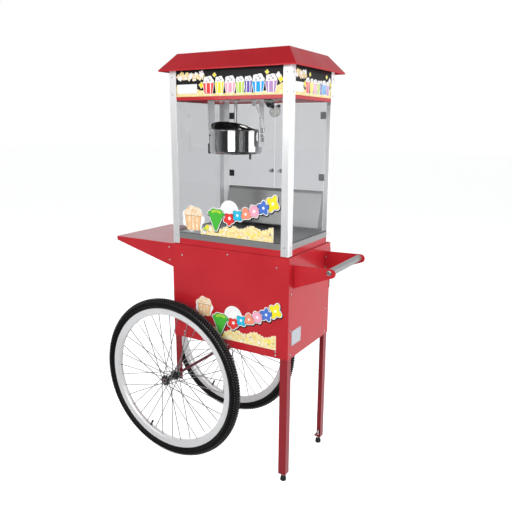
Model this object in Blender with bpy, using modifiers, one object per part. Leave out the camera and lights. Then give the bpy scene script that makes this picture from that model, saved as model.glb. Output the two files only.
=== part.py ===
"""Popcorn machine on a two-wheel cart. Metres, +Z up, front toward -Y.

The world origin is on the floor under the middle of the whole object. Every piece
is placed in cabinet coordinates: the "frame" empty stands under the middle of the
cabinet, FRAME_X to the side of the world origin.
"""
import math

import bmesh
import bpy
from mathutils import Matrix, Vector

FRAME_X = 0.0795
GAP = 0.0003
SHEET = 0.0015

# Glass cabinet
CABINET_X = 0.250
CABINET_Y = 0.175
POST_FLANGE = 0.030
POST_WALL = 0.002
POST_BOTTOM = 0.8715
POST_TOP = 1.528
GLASS = 0.003
RAIL_LOW = 0.8925
RAIL_HIGH = 0.9145
RAIL_DEPTH = 0.014
TRIM_LOW = 1.400
TRIM_HIGH = 1.4125
TRIM_DEPTH = 0.010
FLOOR_TOP = 0.913
CEILING_LOW = 1.4130
SIGN_HIGH = 1.520
BASE_LOW = 0.8685
BASE_HIGH = 0.8922

# Roof
EAVE_X = 0.2790
EAVE_Y = 0.2020
EAVE_LOW = 1.5010
EAVE_HIGH = 1.5055
ROOF_X = 0.2285
ROOF_Y = 0.1535
ROOF_TOP = 1.5645

LAMP_LEAN = 36.0

# Kettle
KETTLE_X = -0.075
KETTLE_RADIUS = 0.100
POT_LOW = 1.208
POT_HEIGHT = 0.089
POT_WALL = 0.0016
PIVOT_Z = 1.277
LEFT_HANGER_X = -0.1885
RIGHT_HANGER_X = 0.0375
BAR_LOW = 1.2976
BAR_HALF = 0.012
FLAP_AJAR = 20.0

# Cart
CART_X = 0.255
CART_Y = 0.175
CART_LOW = 0.493
CART_HIGH = 0.868
DOOR_LOW = 0.6620  # the rear door opens above the wheels
LEG_FLANGE = 0.030
LEG_WALL = 0.002
LEG_TOP = 0.866
LONG_LEG_LOW = 0.0306
SHORT_LEG_LOW = 0.3055
LEG_INSET = SHEET + GAP
SHELF_TIP = -0.546
SHELF_TOP = 0.867
SHELF_LIP = 0.851
SHELF_ROOT = 0.774
ARM_Y = 0.139
ARM_WALL = 0.002
TUBE_X = 0.388
TUBE_Z = 0.827
TUBE_RADIUS = 0.0125

# Wheels
AXLE_X = -0.244
AXLE_Z = 0.3275
AXLE_RADIUS = 0.0062
AXLE_HALF = 0.262
WHEEL_Y = 0.224
WHEEL_RADIUS = 0.3275
TYRE_RADIUS = 0.022
RIM_OUTER = 0.290
RIM_INNER = 0.262
FLANGE_SPACING = 0.030
SPOKE_RADIUS = 0.0009
SPOKES_PER_SIDE = 18

FINISHES = {
    "red": ((0.510, 0.026, 0.034), 0.0, 0.30),
    "red_side": ((0.560, 0.040, 0.045), 0.0, 0.30),
    "maroon": ((0.120, 0.010, 0.022), 0.0, 0.40),
    "aluminium": ((0.550, 0.550, 0.560), 1.0, 0.35),
    "stainless": ((0.600, 0.590, 0.570), 1.0, 0.25),
    "chrome": ((0.700, 0.700, 0.710), 1.0, 0.12),
    "glass": ((0.900, 0.930, 0.940), 0.0, 0.05),
    "black": ((0.020, 0.020, 0.022), 0.0, 0.45),
    "rubber": ((0.011, 0.010, 0.011), 0.0, 0.70),
    "white": ((0.800, 0.800, 0.780), 0.0, 0.40),
    "lamp": ((0.900, 0.870, 0.740), 0.0, 0.15),
}

for stale in list(bpy.data.objects):
    bpy.data.objects.remove(stale)

PARTS = bpy.data.collections.new("popcorn_cart")
CUTTERS = bpy.data.collections.new("cutters")
bpy.context.scene.collection.children.link(PARTS)
bpy.context.scene.collection.children.link(CUTTERS)
SPOTS = {}


def pivot(name, spot, parent=None):
    """An empty that moving pieces hang on, placed in cabinet coordinates."""
    empty = bpy.data.objects.new(name, None)
    PARTS.objects.link(empty)
    SPOTS[name] = Vector(spot)
    if parent is None:
        empty.location = Vector(spot) + Vector((FRAME_X, 0.0, 0.0))
    else:
        empty.parent = parent
        empty.location = Vector(spot) - SPOTS[parent.name]
    return empty


def add_object(name, mesh, spot, parent, group):
    obj = bpy.data.objects.new(name, mesh)
    group.objects.link(obj)
    obj.parent = parent
    obj.location = Vector(spot) - SPOTS[parent.name]
    if group is CUTTERS:
        obj.hide_render = True
        obj.display_type = "WIRE"
    return obj


def coat(obj, finish):
    """Give an object its own material."""
    color, metallic, roughness = FINISHES[finish]
    material = bpy.data.materials.new(obj.name)
    material.use_nodes = True
    shader = material.node_tree.nodes["Principled BSDF"]
    shader.inputs["Base Color"].default_value = (*color, 1.0)
    shader.inputs["Metallic"].default_value = metallic
    shader.inputs["Roughness"].default_value = roughness
    if finish == "glass":
        shader.inputs["Transmission Weight"].default_value = 1.0
    obj.data.materials.append(material)
    return obj


def block_mesh(name, blocks, middle):
    """One mesh of several boxes, each given by two opposite corners."""
    shape = bmesh.new()
    for low, high in blocks:
        size = Vector(high) - Vector(low)
        place = Matrix.Translation((Vector(high) + Vector(low)) / 2 - middle)
        bmesh.ops.create_cube(shape, size=1.0, matrix=place @ Matrix.Diagonal((*size, 1.0)))
    mesh = bpy.data.meshes.new(name)
    shape.to_mesh(mesh)
    shape.free()
    return mesh


def box(name, low, high, finish, parent):
    middle = (Vector(low) + Vector(high)) / 2
    mesh = block_mesh(name, [(low, high)], middle)
    return coat(add_object(name, mesh, middle, parent, PARTS), finish)


def combine(obj, other, operation):
    step = obj.modifiers.new(operation.lower(), "BOOLEAN")
    step.operation = operation
    step.object = other


def with_blocks(obj, blocks, operation, parent):
    """Add boxes to an object or cut them from it, all in one step."""
    middle = (Vector(blocks[0][0]) + Vector(blocks[0][1])) / 2
    name = obj.name + "_" + operation.lower()
    other = add_object(name, block_mesh(name, blocks, middle), middle, parent, CUTTERS)
    combine(obj, other, operation)


TURNS = {
    "X": (0.0, math.radians(90), 0.0),
    "Y": (math.radians(-90), 0.0, 0.0),
    "Z": (0.0, 0.0, 0.0),
}


def rod_mesh(name, radius, length, segments):
    shape = bmesh.new()
    bmesh.ops.create_cone(
        shape, cap_ends=True, segments=segments, radius1=radius, radius2=radius, depth=length
    )
    mesh = bpy.data.meshes.new(name)
    shape.to_mesh(mesh)
    shape.free()
    mesh.shade_smooth()
    mesh.set_sharp_from_angle(angle=math.radians(40))
    return mesh


def rod(name, spot, radius, length, axis, finish, parent, segments=24):
    obj = add_object(name, rod_mesh(name, radius, length, segments), spot, parent, PARTS)
    obj.rotation_euler = TURNS[axis]
    return coat(obj, finish)


def with_rod(obj, spot, radius, length, axis, operation, parent, segments=24):
    name = obj.name + "_" + operation.lower() + "_round"
    other = add_object(name, rod_mesh(name, radius, length, segments), spot, parent, CUTTERS)
    other.rotation_euler = TURNS[axis]
    combine(obj, other, operation)


def arc(center, radius, start, stop, steps):
    """Points on a circle between two angles in degrees, both ends included."""
    points = []
    for step in range(steps + 1):
        angle = math.radians(start + (stop - start) * step / steps)
        points.append((center[0] + radius * math.cos(angle), center[1] + radius * math.sin(angle)))
    return points


def turned(name, profile, spot, axis, segments, finish, parent, ring=False):
    """A round piece from its half profile of (radius, height) points."""
    mesh = bpy.data.meshes.new(name)
    edges = [(index, index + 1) for index in range(len(profile) - 1)]
    if ring:
        edges.append((len(profile) - 1, 0))
    mesh.from_pydata([(radius, 0.0, height) for radius, height in profile], edges, [])
    obj = add_object(name, mesh, spot, parent, PARTS)
    obj.rotation_euler = TURNS[axis]
    screw = obj.modifiers.new("turn", "SCREW")
    screw.axis = "Z"
    screw.steps = segments
    screw.render_steps = segments
    screw.use_merge_vertices = True
    screw.merge_threshold = 0.00001
    screw.use_smooth_shade = True
    return coat(obj, finish)


PLANES = {
    "XY": (0.0, 0.0, 0.0),
    "XZ": (math.radians(90), 0.0, 0.0),
    "YZ": (math.radians(90), 0.0, math.radians(90)),
}


def flat(name, loops, thickness, plane, spot, finish, parent):
    """A plate from flat outlines: the first loop is its edge, the others are holes."""
    curve = bpy.data.curves.new(name, "CURVE")
    curve.dimensions = "2D"
    curve.fill_mode = "BOTH"
    curve.extrude = thickness / 2
    for loop in loops:
        spline = curve.splines.new("POLY")
        spline.points.add(len(loop) - 1)
        spline.use_cyclic_u = True
        for point, (across, up) in zip(spline.points, loop):
            point.co = (across, up, 0.0, 1.0)
    guide = bpy.data.objects.new(name + "_outline", curve)
    CUTTERS.objects.link(guide)
    graph = bpy.context.evaluated_depsgraph_get()
    mesh = bpy.data.meshes.new_from_object(guide.evaluated_get(graph))
    bpy.data.objects.remove(guide)
    shape = bmesh.new()
    shape.from_mesh(mesh)
    bmesh.ops.remove_doubles(shape, verts=shape.verts, dist=0.00001)
    bmesh.ops.recalc_face_normals(shape, faces=shape.faces)
    shape.to_mesh(mesh)
    shape.free()
    obj = add_object(name, mesh, spot, parent, PARTS)
    obj.rotation_euler = PLANES[plane]
    return coat(obj, finish)


def corner_angle(name, side_x, side_y, half_x, half_y, flange, wall, low, high, finish):
    """An upright L angle whose outer corner stands at one corner of a rectangle."""
    radius = 0.003
    shape = [(flange, 0.0), (flange, wall), (wall, wall), (wall, flange), (0.0, flange)]
    shape += arc((radius, radius), radius, 180.0, 270.0, 3)
    loop = [(side_x * (half_x - across), side_y * (half_y - along)) for across, along in shape]
    spot = (0.0, 0.0, (low + high) / 2)
    return flat(name, [loop], high - low, "XY", spot, finish, FRAME)


FRAME = pivot("frame", (0.0, 0.0, 0.0))
CORNERS = {
    "front_left": (-1, -1),
    "rear_left": (-1, 1),
    "front_right": (1, -1),
    "rear_right": (1, 1),
}


def make_roof():
    """A pressed hip roof: hem, four slopes and a flat top, open underneath."""
    shape = bmesh.new()
    bmesh.ops.create_cube(shape, size=2.0)
    bottom = [face for face in shape.faces if face.normal.z < -0.9]
    bmesh.ops.delete(shape, geom=bottom, context="FACES")
    bmesh.ops.scale(shape, vec=(EAVE_X, EAVE_Y, (EAVE_HIGH - EAVE_LOW) / 2), verts=shape.verts)
    top = [face for face in shape.faces if face.normal.z > 0.9]
    raised = bmesh.ops.extrude_face_region(shape, geom=top)["geom"]
    bmesh.ops.delete(shape, geom=top, context="FACES_ONLY")
    corners = [item for item in raised if isinstance(item, bmesh.types.BMVert)]
    bmesh.ops.translate(shape, vec=(0.0, 0.0, ROOF_TOP - EAVE_HIGH), verts=corners)
    bmesh.ops.scale(shape, vec=(ROOF_X / EAVE_X, ROOF_Y / EAVE_Y, 1.0), verts=corners)
    mesh = bpy.data.meshes.new("roof")
    shape.to_mesh(mesh)
    shape.free()
    roof = add_object("roof", mesh, (0.0, 0.0, (EAVE_LOW + EAVE_HIGH) / 2), FRAME, PARTS)
    coat(roof, "red")
    wall = roof.modifiers.new("sheet", "SOLIDIFY")
    wall.thickness = SHEET
    wall.offset = -1.0
    wall.use_even_offset = True


def make_posts():
    for corner, (side_x, side_y) in CORNERS.items():
        corner_angle(
            "post_" + corner, side_x, side_y, CABINET_X, CABINET_Y,
            POST_FLANGE, POST_WALL, POST_BOTTOM, POST_TOP, "aluminium",
        )


def post_recesses(low, high):
    """Boxes that clear the four post angles from a frame that fits between them."""
    skin = POST_WALL + GAP
    reach = POST_FLANGE + GAP
    out = 0.002
    blocks = []
    for side in (-1, 1):
        edge = side * (CABINET_X + out)
        spans = [
            (side * (CABINET_X - reach), -CABINET_Y - out, edge, -CABINET_Y + skin),
            (side * (CABINET_X - skin), -CABINET_Y + skin, edge, -CABINET_Y + reach),
            (side * (CABINET_X - skin), CABINET_Y - reach, edge, CABINET_Y + out),
        ]
        for x_one, y_one, x_two, y_two in spans:
            blocks.append((
                (min(x_one, x_two), y_one, low - out),
                (max(x_one, x_two), y_two, high + out),
            ))
    return blocks


def glazing_frame(name, low, high, depth, groove, finish):
    """A U of three rails, open at the rear, with a groove the panes stand in."""
    rear = 0.1692
    inner_x = CABINET_X - depth
    inner_y = CABINET_Y - depth
    loop = [
        (-CABINET_X, rear), (-CABINET_X, -CABINET_Y), (CABINET_X, -CABINET_Y), (CABINET_X, rear),
        (inner_x, rear), (inner_x, -inner_y), (-inner_x, -inner_y), (-inner_x, rear),
    ]
    spot = (0.0, 0.0, (low + high) / 2)
    frame = flat(name, [loop], high - low, "XY", spot, finish, FRAME)
    for block in post_recesses(low, high):
        with_blocks(frame, [block], "DIFFERENCE", FRAME)
    near = CABINET_X - 0.0018
    far = CABINET_X - 0.0058
    bottom, top = groove
    with_blocks(frame, [
        ((-near, -CABINET_Y + 0.0018, bottom), (near, -CABINET_Y + 0.0058, top)),
    ], "DIFFERENCE", FRAME)
    with_blocks(frame, [
        ((-near, -CABINET_Y + 0.0018, bottom), (-far, rear + 0.001, top)),
        ((far, -CABINET_Y + 0.0018, bottom), (near, rear + 0.001, top)),
    ], "DIFFERENCE", FRAME)
    return frame


def make_panes():
    """Fixed panes, 0.3 mm behind the post flanges, standing in the rail groove."""
    outer_y = -CABINET_Y + POST_WALL + GAP
    outer_x = CABINET_X - POST_WALL - GAP
    low = RAIL_LOW + 0.0125
    high = TRIM_HIGH - 0.0045
    box("glass_front", (-0.240, outer_y, low), (0.240, outer_y + GLASS, high), "glass", FRAME)
    box("glass_left", (-outer_x, -0.168, low), (-outer_x + GLASS, 0.168, high), "glass", FRAME)
    box("glass_right", (outer_x - GLASS, -0.168, low), (outer_x, 0.168, high), "glass", FRAME)
    sign = TRIM_HIGH + GAP
    box("sign_front", (-0.2455, outer_y, sign), (0.2455, outer_y + SHEET, SIGN_HIGH), "black", FRAME)
    box("sign_left", (-outer_x, -0.1705, sign), (-outer_x + SHEET, 0.1705, SIGN_HIGH), "black", FRAME)
    box("sign_right", (outer_x - SHEET, -0.1705, sign), (outer_x, 0.1705, SIGN_HIGH), "black", FRAME)


def make_base():
    """The red pan under the glass, open at the rear for the crumb drawer."""
    x, y = 0.2475, 0.1725
    base = box("machine_base", (-x, -y, BASE_LOW), (x, y, BASE_HIGH), "red", FRAME)
    with_blocks(base, [
        ((-x + SHEET, -y + SHEET, BASE_LOW + SHEET), (x - SHEET, y + 0.01, BASE_HIGH + 0.01)),
    ], "DIFFERENCE", FRAME)
    floor_low = FLOOR_TOP - SHEET
    floor = box("floor_plate", (-0.2355, -0.1605, floor_low), (0.2355, 0.168, FLOOR_TOP),
                "stainless", FRAME)
    slots = []
    for row in range(5):
        for column in range(2):
            x_low = -0.160 + 0.180 * column
            y_low = -0.120 + 0.055 * row
            slots.append((
                (x_low, y_low, floor_low - 0.005),
                (x_low + 0.140, y_low + 0.006, FLOOR_TOP + 0.005),
            ))
    with_blocks(floor, slots, "DIFFERENCE", FRAME)


def make_drawer():
    """The drawer that catches unpopped kernels. It slides out at the rear."""
    runner = pivot("crumb_drawer_runner", (0.0, 0.171, 0.8815), FRAME)
    drawer = box("crumb_drawer", (-0.200, -0.160, 0.8722), (0.200, 0.1710, 0.8905),
                 "stainless", runner)
    with_blocks(drawer, [
        ((-0.1988, -0.1588, 0.8734), (0.1988, 0.1698, 0.900)),
    ], "DIFFERENCE", runner)
    with_blocks(drawer, [
        ((-0.2185, 0.1705, 0.8722), (0.2185, 0.1722, 0.8912)),
    ], "UNION", runner)


def make_rear():
    """Chute under the doors, header with the switches, and the two clear doors."""
    wall = 0.0012
    outside = [(0.1740, 0.8935), (0.1740, 1.0670), (0.1665, 1.0670), (0.1665, 1.0550), (0.1275, 0.9250)]
    inside = [
        (0.1275 + 1.1 * wall, 0.9246), (0.1665 + wall, 1.0548), (0.1665 + wall, 1.0670 - wall),
        (0.1740 - wall, 1.0670 - wall), (0.1740 - wall, 0.8935),
    ]
    apron = flat("rear_apron", [outside + inside], 0.436, "YZ", (0.0, 0.0, 0.0), "stainless", FRAME)
    for side in (-1, 1):
        end = [(0.1730, 0.9250), (0.1730, 1.0660), (0.1670, 1.0660), (0.1670, 1.0560), (0.1282, 0.9250)]
        plate = flat("apron_end_" + str(side), [end], wall, "YZ",
                     (side * (0.218 - wall / 2), 0.0, 0.0), "stainless", FRAME)
        PARTS.objects.unlink(plate)
        CUTTERS.objects.link(plate)
        plate.hide_render = True
        plate.display_type = "WIRE"
        combine(apron, plate, "UNION")
    header = box("control_panel", (-0.2192, 0.1733, 1.4005), (0.2192, 0.1748, SIGN_HIGH), "red", FRAME)
    for name, x in (("power", -0.055), ("heat", 0.0), ("light", 0.055)):
        with_blocks(header, [((x - 0.0070, 0.16, 1.4405), (x + 0.0070, 0.18, 1.4635))],
                    "DIFFERENCE", FRAME)
        make_switch("switch_" + name, x, 1.452)
    for side, name in ((-1, "door_left"), (1, "door_right")):
        hinge = pivot(name + "_hinge", (side * 0.2190, 0.1775, 1.234), FRAME)
        x_one, x_two = sorted((side * 0.002, side * 0.2180))
        box(name, (x_one, 0.170, 1.0695), (x_two, 0.174, 1.3985), "glass", hinge)


def make_switch(name, x, z):
    """A rocker on a crosswise hinge, resting with its lower half out."""
    hinge = pivot(name + "_hinge", (x, 0.171, z), FRAME)
    half = 0.0092
    loop = [(-0.004, -half), (0.0062, -half), (0.0050, 0.0), (0.0062, half), (-0.004, half)]
    rocker = flat(name, [loop], 0.0120, "YZ", (x, 0.171, z), "black", hinge)
    rocker.matrix_basis = Matrix.Rotation(math.radians(8), 4, "X") @ rocker.matrix_basis


def make_ceiling():
    y = 0.170
    ceiling = box("ceiling_plate", (-0.2440, -y, CEILING_LOW), (0.2440, y, CEILING_LOW + SHEET),
                  "stainless", FRAME)
    with_rod(ceiling, (KETTLE_X, 0.0, CEILING_LOW), 0.009, 0.02, "Z", "DIFFERENCE", FRAME)
    body = [(0.0, 1.500), (0.026, 1.500), (0.028, 1.498), (0.028, 1.452), (0.034, 1.450),
            (0.034, 1.4165), (0.0, 1.4165)]
    turned("motor", [(radius, z - 1.4165) for radius, z in body], (KETTLE_X, 0.0, 1.4165), "Z",
           24, "black", FRAME)
    drive = pivot("drive_axis", (KETTLE_X, 0.0, 1.4035), FRAME)
    hub = [(0.0, 1.4160), (0.006, 1.4160), (0.006, 1.4100), (0.0165, 1.4100), (0.018, 1.4085),
           (0.018, 1.4050), (0.0165, 1.4035), (0.0, 1.4035)]
    turned("drive_coupling", [(radius, z - 1.4035) for radius, z in hub],
           (KETTLE_X, 0.0, 1.4035), "Z", 24, "black", drive)
    make_lamp()


def make_lamp():
    """The socket leans on a block under the ceiling, and the bulb points down to the right."""
    lean = (0.0, math.radians(-LAMP_LEAN), 0.0)
    way = Vector((math.sin(math.radians(LAMP_LEAN)), 0.0, -math.cos(math.radians(LAMP_LEAN))))
    end = Vector((0.0784, 0.0, 1.3852))
    body = [(0.0, 0.0220), (0.0125, 0.0220), (0.0150, 0.0190), (0.0150, 0.0040), (0.0135, 0.0),
            (0.0, 0.0)]
    socket = turned("lamp_socket", body, end, "Z", 24, "black", FRAME)
    socket.rotation_euler = lean
    with_blocks(socket, [((0.0500, -0.0070, 1.3995), (0.0660, 0.0070, 1.4127))], "UNION", FRAME)
    radius = 0.021
    glass = [(0.0, 0.0251), (0.0090, 0.0251)]
    glass += [(radius * math.sin(math.radians(a)), radius * math.cos(math.radians(a)))
              for a in range(28, 180, 19)]
    glass += [(0.0, -radius)]
    bulb = turned("lamp_bulb", glass, end + way * 0.0255, "Z", 20, "lamp", FRAME)
    bulb.rotation_euler = lean


def make_hangers():
    """Two brackets under the ceiling that carry the kettle's pivot pins."""
    hole = arc((0.0, PIVOT_Z), 0.005, 0.0, 337.5, 15)
    top = 1.4120
    left = [(0.022, top), (-0.022, top), (-0.022, 1.315)]
    left += arc((0.0, PIVOT_Z), 0.012, 180.0, 360.0, 10) + [(0.022, 1.315)]
    right = [(0.018, top), (-0.018, top), (-0.018, 1.240), (-0.014, 1.236), (0.014, 1.236),
             (0.018, 1.240)]
    plates = (
        ("hanger_left", LEFT_HANGER_X, left, (-0.2085, -0.1885), 0.022),
        ("hanger_right", RIGHT_HANGER_X, right, (0.0150, 0.0375), 0.018),
    )
    for name, x, edge, foot, half in plates:
        hanger = flat(name, [edge, hole], 0.002, "YZ", (x, 0.0, 0.0), "aluminium", FRAME)
        with_blocks(hanger, [((foot[0], -half, 1.4106), (foot[1], half, 1.4127))], "UNION", FRAME)


def make_kettle():
    """The tilting kettle. Its empty is on the pivot pins, which run along X."""
    tilt = pivot("kettle_axis", (KETTLE_X, 0.0, PIVOT_Z), FRAME)
    inner = KETTLE_RADIUS - POT_WALL
    profile = [(0.0, 0.0025)]
    profile += arc((inner - 0.010, 0.0125), 0.010, 270.0, 360.0, 4)
    profile += [(inner, POT_HEIGHT), (0.1022, POT_HEIGHT), (0.1030, POT_HEIGHT - 0.002),
                (0.1022, POT_HEIGHT - 0.004), (KETTLE_RADIUS, POT_HEIGHT - 0.0045)]
    profile += arc((KETTLE_RADIUS - 0.012, 0.012), 0.012, 360.0, 270.0, 4)
    profile += [(0.0, 0.0)]
    pot = turned("kettle_pot", profile, (KETTLE_X, 0.0, POT_LOW), "Z", 40, "stainless", tilt)
    left = KETTLE_X - KETTLE_RADIUS
    right = KETTLE_X + KETTLE_RADIUS
    with_blocks(pot, [
        ((left - 0.0043, -0.012, 1.258), (left + 0.0010, 0.012, 1.289)),
        ((right - 0.0010, -0.012, 1.258), (right + 0.0043, 0.012, 1.289)),
    ], "UNION", tilt)
    with_rod(pot, (left - 0.0112, 0.0, PIVOT_Z), 0.004, 0.0166, "X", "UNION", tilt, 16)
    with_rod(pot, (right + 0.0115, 0.0, PIVOT_Z), 0.004, 0.0170, "X", "UNION", tilt, 16)

    bar = box("lid_bar", (KETTLE_X - 0.098, -BAR_HALF, BAR_LOW),
              (KETTLE_X + 0.098, BAR_HALF, BAR_LOW + 0.003), "stainless", tilt)
    with_rod(bar, (KETTLE_X, 0.0, BAR_LOW), 0.007, 0.02, "Z", "DIFFERENCE", tilt)
    for side, name, lift in ((-1, "lid_flap_front", FLAP_AJAR), (1, "lid_flap_rear", 0.0)):
        hinge_y = side * (BAR_HALF + 0.001)
        hinge = pivot(name + "_hinge", (KETTLE_X, hinge_y, BAR_LOW + 0.0024), tilt)
        reach = 0.0970
        start = math.degrees(math.asin((BAR_HALF + 0.0015) / reach))
        loop = arc((0.0, 0.0), reach, side * start, side * (180.0 - start), 22)
        plate = flat(name, [loop], SHEET, "XY", (KETTLE_X, 0.0, BAR_LOW + 0.0009), "stainless", hinge)
        turn = Matrix.Rotation(math.radians(side * lift), 4, "X")
        plate.matrix_basis = turn @ plate.matrix_basis

    mixer = pivot("stirrer_axis", (KETTLE_X, 0.0, 1.2112), tilt)
    stirrer = rod("stirrer", (KETTLE_X, 0.0, 1.3066), 0.0058, 0.1908, "Z", "stainless", mixer)
    with_blocks(stirrer, [
        ((KETTLE_X - 0.085, -0.005, 1.2113), (KETTLE_X + 0.085, 0.005, 1.2163)),
    ], "UNION", mixer)
    with_blocks(stirrer, [
        ((KETTLE_X - 0.083, -0.002, 1.2150), (KETTLE_X - 0.060, 0.002, 1.2300)),
        ((KETTLE_X + 0.035, -0.002, 1.2150), (KETTLE_X + 0.058, 0.002, 1.2300)),
    ], "UNION", mixer)

    lever = box("kettle_handle", (-0.1976, -0.0065, 1.2300), (-0.1947, 0.0065, 1.2840), "black", tilt)
    with_rod(lever, (-0.1985, 0.0, 1.2250), 0.0065, 0.0400, "Z", "UNION", tilt, 16)


def make_cable():
    """The kettle's power cable: a coil under the ceiling, then down to the right pivot."""
    points = [(0.0320, -0.027, 1.4126), (0.0320, -0.027, 1.4080)]
    coils, steps = 3, 14
    for step in range(coils * steps + 1):
        angle = 2.0 * math.pi * step / steps
        points.append((
            0.023 + 0.009 * math.cos(angle), -0.027 + 0.009 * math.sin(angle),
            1.4050 - 0.0075 * step / steps,
        ))
    points += [(0.0345, -0.0280, 1.3740), (0.0440, -0.0260, 1.3570), (0.0478, -0.0160, 1.3350),
               (0.0482, -0.0040, 1.3080), (0.0482, 0.0, 1.2770)]
    curve = bpy.data.curves.new("kettle_cable", "CURVE")
    curve.dimensions = "3D"
    curve.bevel_depth = 0.0022
    curve.bevel_resolution = 1
    curve.use_fill_caps = True
    spline = curve.splines.new("POLY")
    spline.points.add(len(points) - 1)
    for point, spot in zip(spline.points, points):
        point.co = (*spot, 1.0)
    cable = add_object("kettle_cable", curve, (0.0, 0.0, 0.0), FRAME, PARTS)
    coat(cable, "white")


def make_cart():
    """Sheet panels around four angle legs."""
    inside = CART_X - SHEET
    panel = box("cart_front_panel", (-CART_X, -CART_Y, CART_LOW), (CART_X, -CART_Y + SHEET, CART_HIGH),
                "red", FRAME)
    lip = -CART_Y + SHEET
    with_blocks(panel, [
        ((-0.2215, lip - 0.0005, 0.8645), (0.2215, lip + 0.014, 0.8660)),
        ((-0.2215, lip - 0.0005, 0.4945), (0.2215, lip + 0.014, 0.4960)),
    ], "UNION", FRAME)
    front = -CART_Y + LEG_INSET
    box("cart_left_panel", (-CART_X, front, CART_LOW), (-inside, CART_Y, CART_HIGH), "red", FRAME)
    box("cart_right_panel", (inside, front, CART_LOW), (CART_X, CART_Y, CART_HIGH), "red_side", FRAME)
    box("cart_top", (-0.2530, -0.1730, 0.8665), (0.2530, 0.1730, 0.8680), "red", FRAME)
    floor = box("cart_floor", (-0.2508, -0.1708, 0.4965), (0.2508, 0.1708, 0.4980), "red", FRAME)
    with_blocks(floor, [((-0.2210, 0.1700, 0.4965), (0.2210, 0.1740, 0.4980))], "UNION", FRAME)
    with_blocks(floor, [((-0.2525, 0.1736, 0.4940), (0.2525, 0.1750, DOOR_LOW - GAP))], "UNION", FRAME)
    hinge = pivot("cart_door_hinge", (0.2555, 0.1758, (DOOR_LOW + 0.8675) / 2), FRAME)
    box("cart_door", (-0.2525, 0.1736, DOOR_LOW), (0.2525, 0.1750, 0.8675), "red", hinge)


def make_legs():
    half_x = CART_X - LEG_INSET
    half_y = CART_Y - LEG_INSET
    for corner, (side_x, side_y) in CORNERS.items():
        low = LONG_LEG_LOW if side_x > 0 else SHORT_LEG_LOW
        leg = corner_angle("leg_" + corner, side_x, side_y, half_x, half_y,
                           LEG_FLANGE, LEG_WALL, low, LEG_TOP, "red")
        if side_x < 0:
            with_rod(leg, (AXLE_X, side_y * half_y, AXLE_Z), AXLE_RADIUS + 0.0004, 0.02, "Y",
                     "DIFFERENCE", FRAME)
            continue
        inner_x = half_x - LEG_WALL + GAP
        inner_y = half_y - LEG_WALL + GAP
        y_one, y_two = sorted((side_y * (half_y - LEG_FLANGE + 0.001), side_y * inner_y))
        with_blocks(leg, [
            ((half_x - LEG_FLANGE + 0.001, y_one, low + 0.0005), (inner_x, y_two, low + 0.0035)),
        ], "UNION", FRAME)
        spot = (half_x - 0.0155, side_y * (half_y - 0.0155))
        with_rod(leg, (*spot, low), 0.0048, 0.02, "Z", "DIFFERENCE", FRAME)
        name = "foot_" + corner.split("_")[0]
        screw = pivot(name + "_thread", (*spot, low), FRAME)
        profile = [(0.0, 0.055), (0.0032, 0.055), (0.0040, 0.054), (0.0040, 0.019), (0.0095, 0.018),
                   (0.0115, 0.004), (0.0115, 0.0), (0.0, 0.0)]
        turned(name, profile, (*spot, 0.0), "Z", 20, "rubber", screw)


def make_shelf():
    """Side shelf: top plate, lip, root flange and two tapered skirts from one sheet."""
    root = -CART_X - GAP
    loop = [(root, SHELF_TOP), (SHELF_TIP, SHELF_TOP), (SHELF_TIP, SHELF_LIP), (root, SHELF_ROOT)]
    shelf = flat("shelf", [loop], 2 * CART_Y, "XZ", (0.0, 0.0, 0.0), "red", FRAME)
    with_blocks(shelf, [
        ((SHELF_TIP + SHEET, -CART_Y + SHEET, 0.70), (root - SHEET, CART_Y - SHEET, SHELF_TOP - SHEET)),
    ], "DIFFERENCE", FRAME)


def make_handle():
    """Two plate arms on the right panel with a tube between them."""
    root = CART_X + GAP
    for side, name in ((-1, "handle_arm_front"), (1, "handle_arm_rear")):
        loop = [(root, 0.8380), (root, 0.7535)]
        loop += arc((0.3965, 0.8260), 0.016, 300.0, 450.0, 10)
        arm = flat(name, [loop], ARM_WALL, "XZ", (0.0, side * ARM_Y, 0.0), "red", FRAME)
        y_one, y_two = sorted((side * (ARM_Y - 0.020), side * (ARM_Y - 0.0005)))
        with_blocks(arm, [((root, y_one, 0.7560), (root + ARM_WALL, y_two, 0.8360))], "UNION", FRAME)
    half = ARM_Y - ARM_WALL / 2 - GAP
    inner = TUBE_RADIUS - 0.0012
    profile = [(inner, half), (TUBE_RADIUS, half), (TUBE_RADIUS, -half), (inner, -half)]
    turned("handle_tube", profile, (TUBE_X, 0.0, TUBE_Z), "Y", 24, "aluminium", FRAME, ring=True)


def add_spokes(shape):
    """36 spokes from the hub flanges to the rim, leaning both ways without touching."""
    for side in (-1, 1):
        for index in range(SPOKES_PER_SIDE):
            even = index % 2 == 0
            angle = math.radians(360.0 / SPOKES_PER_SIDE * index + (10.0 if side > 0 else 0.0))
            lean = math.radians(60.0 if even else -60.0)
            offset = 0.00125 if even else -0.00125
            start = Vector((
                0.0175 * math.cos(angle + lean), 0.0175 * math.sin(angle + lean),
                side * FLANGE_SPACING + offset,
            ))
            end = Vector((
                (RIM_INNER - 0.0005) * math.cos(angle), (RIM_INNER - 0.0005) * math.sin(angle),
                side * 0.0035 + offset,
            ))
            turn = (end - start).to_track_quat("Z", "X").to_matrix().to_4x4()
            place = Matrix.Translation((start + end) / 2) @ turn
            bmesh.ops.create_cone(
                shape, cap_ends=True, segments=5, radius1=SPOKE_RADIUS, radius2=SPOKE_RADIUS,
                depth=(end - start).length, matrix=place,
            )


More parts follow.
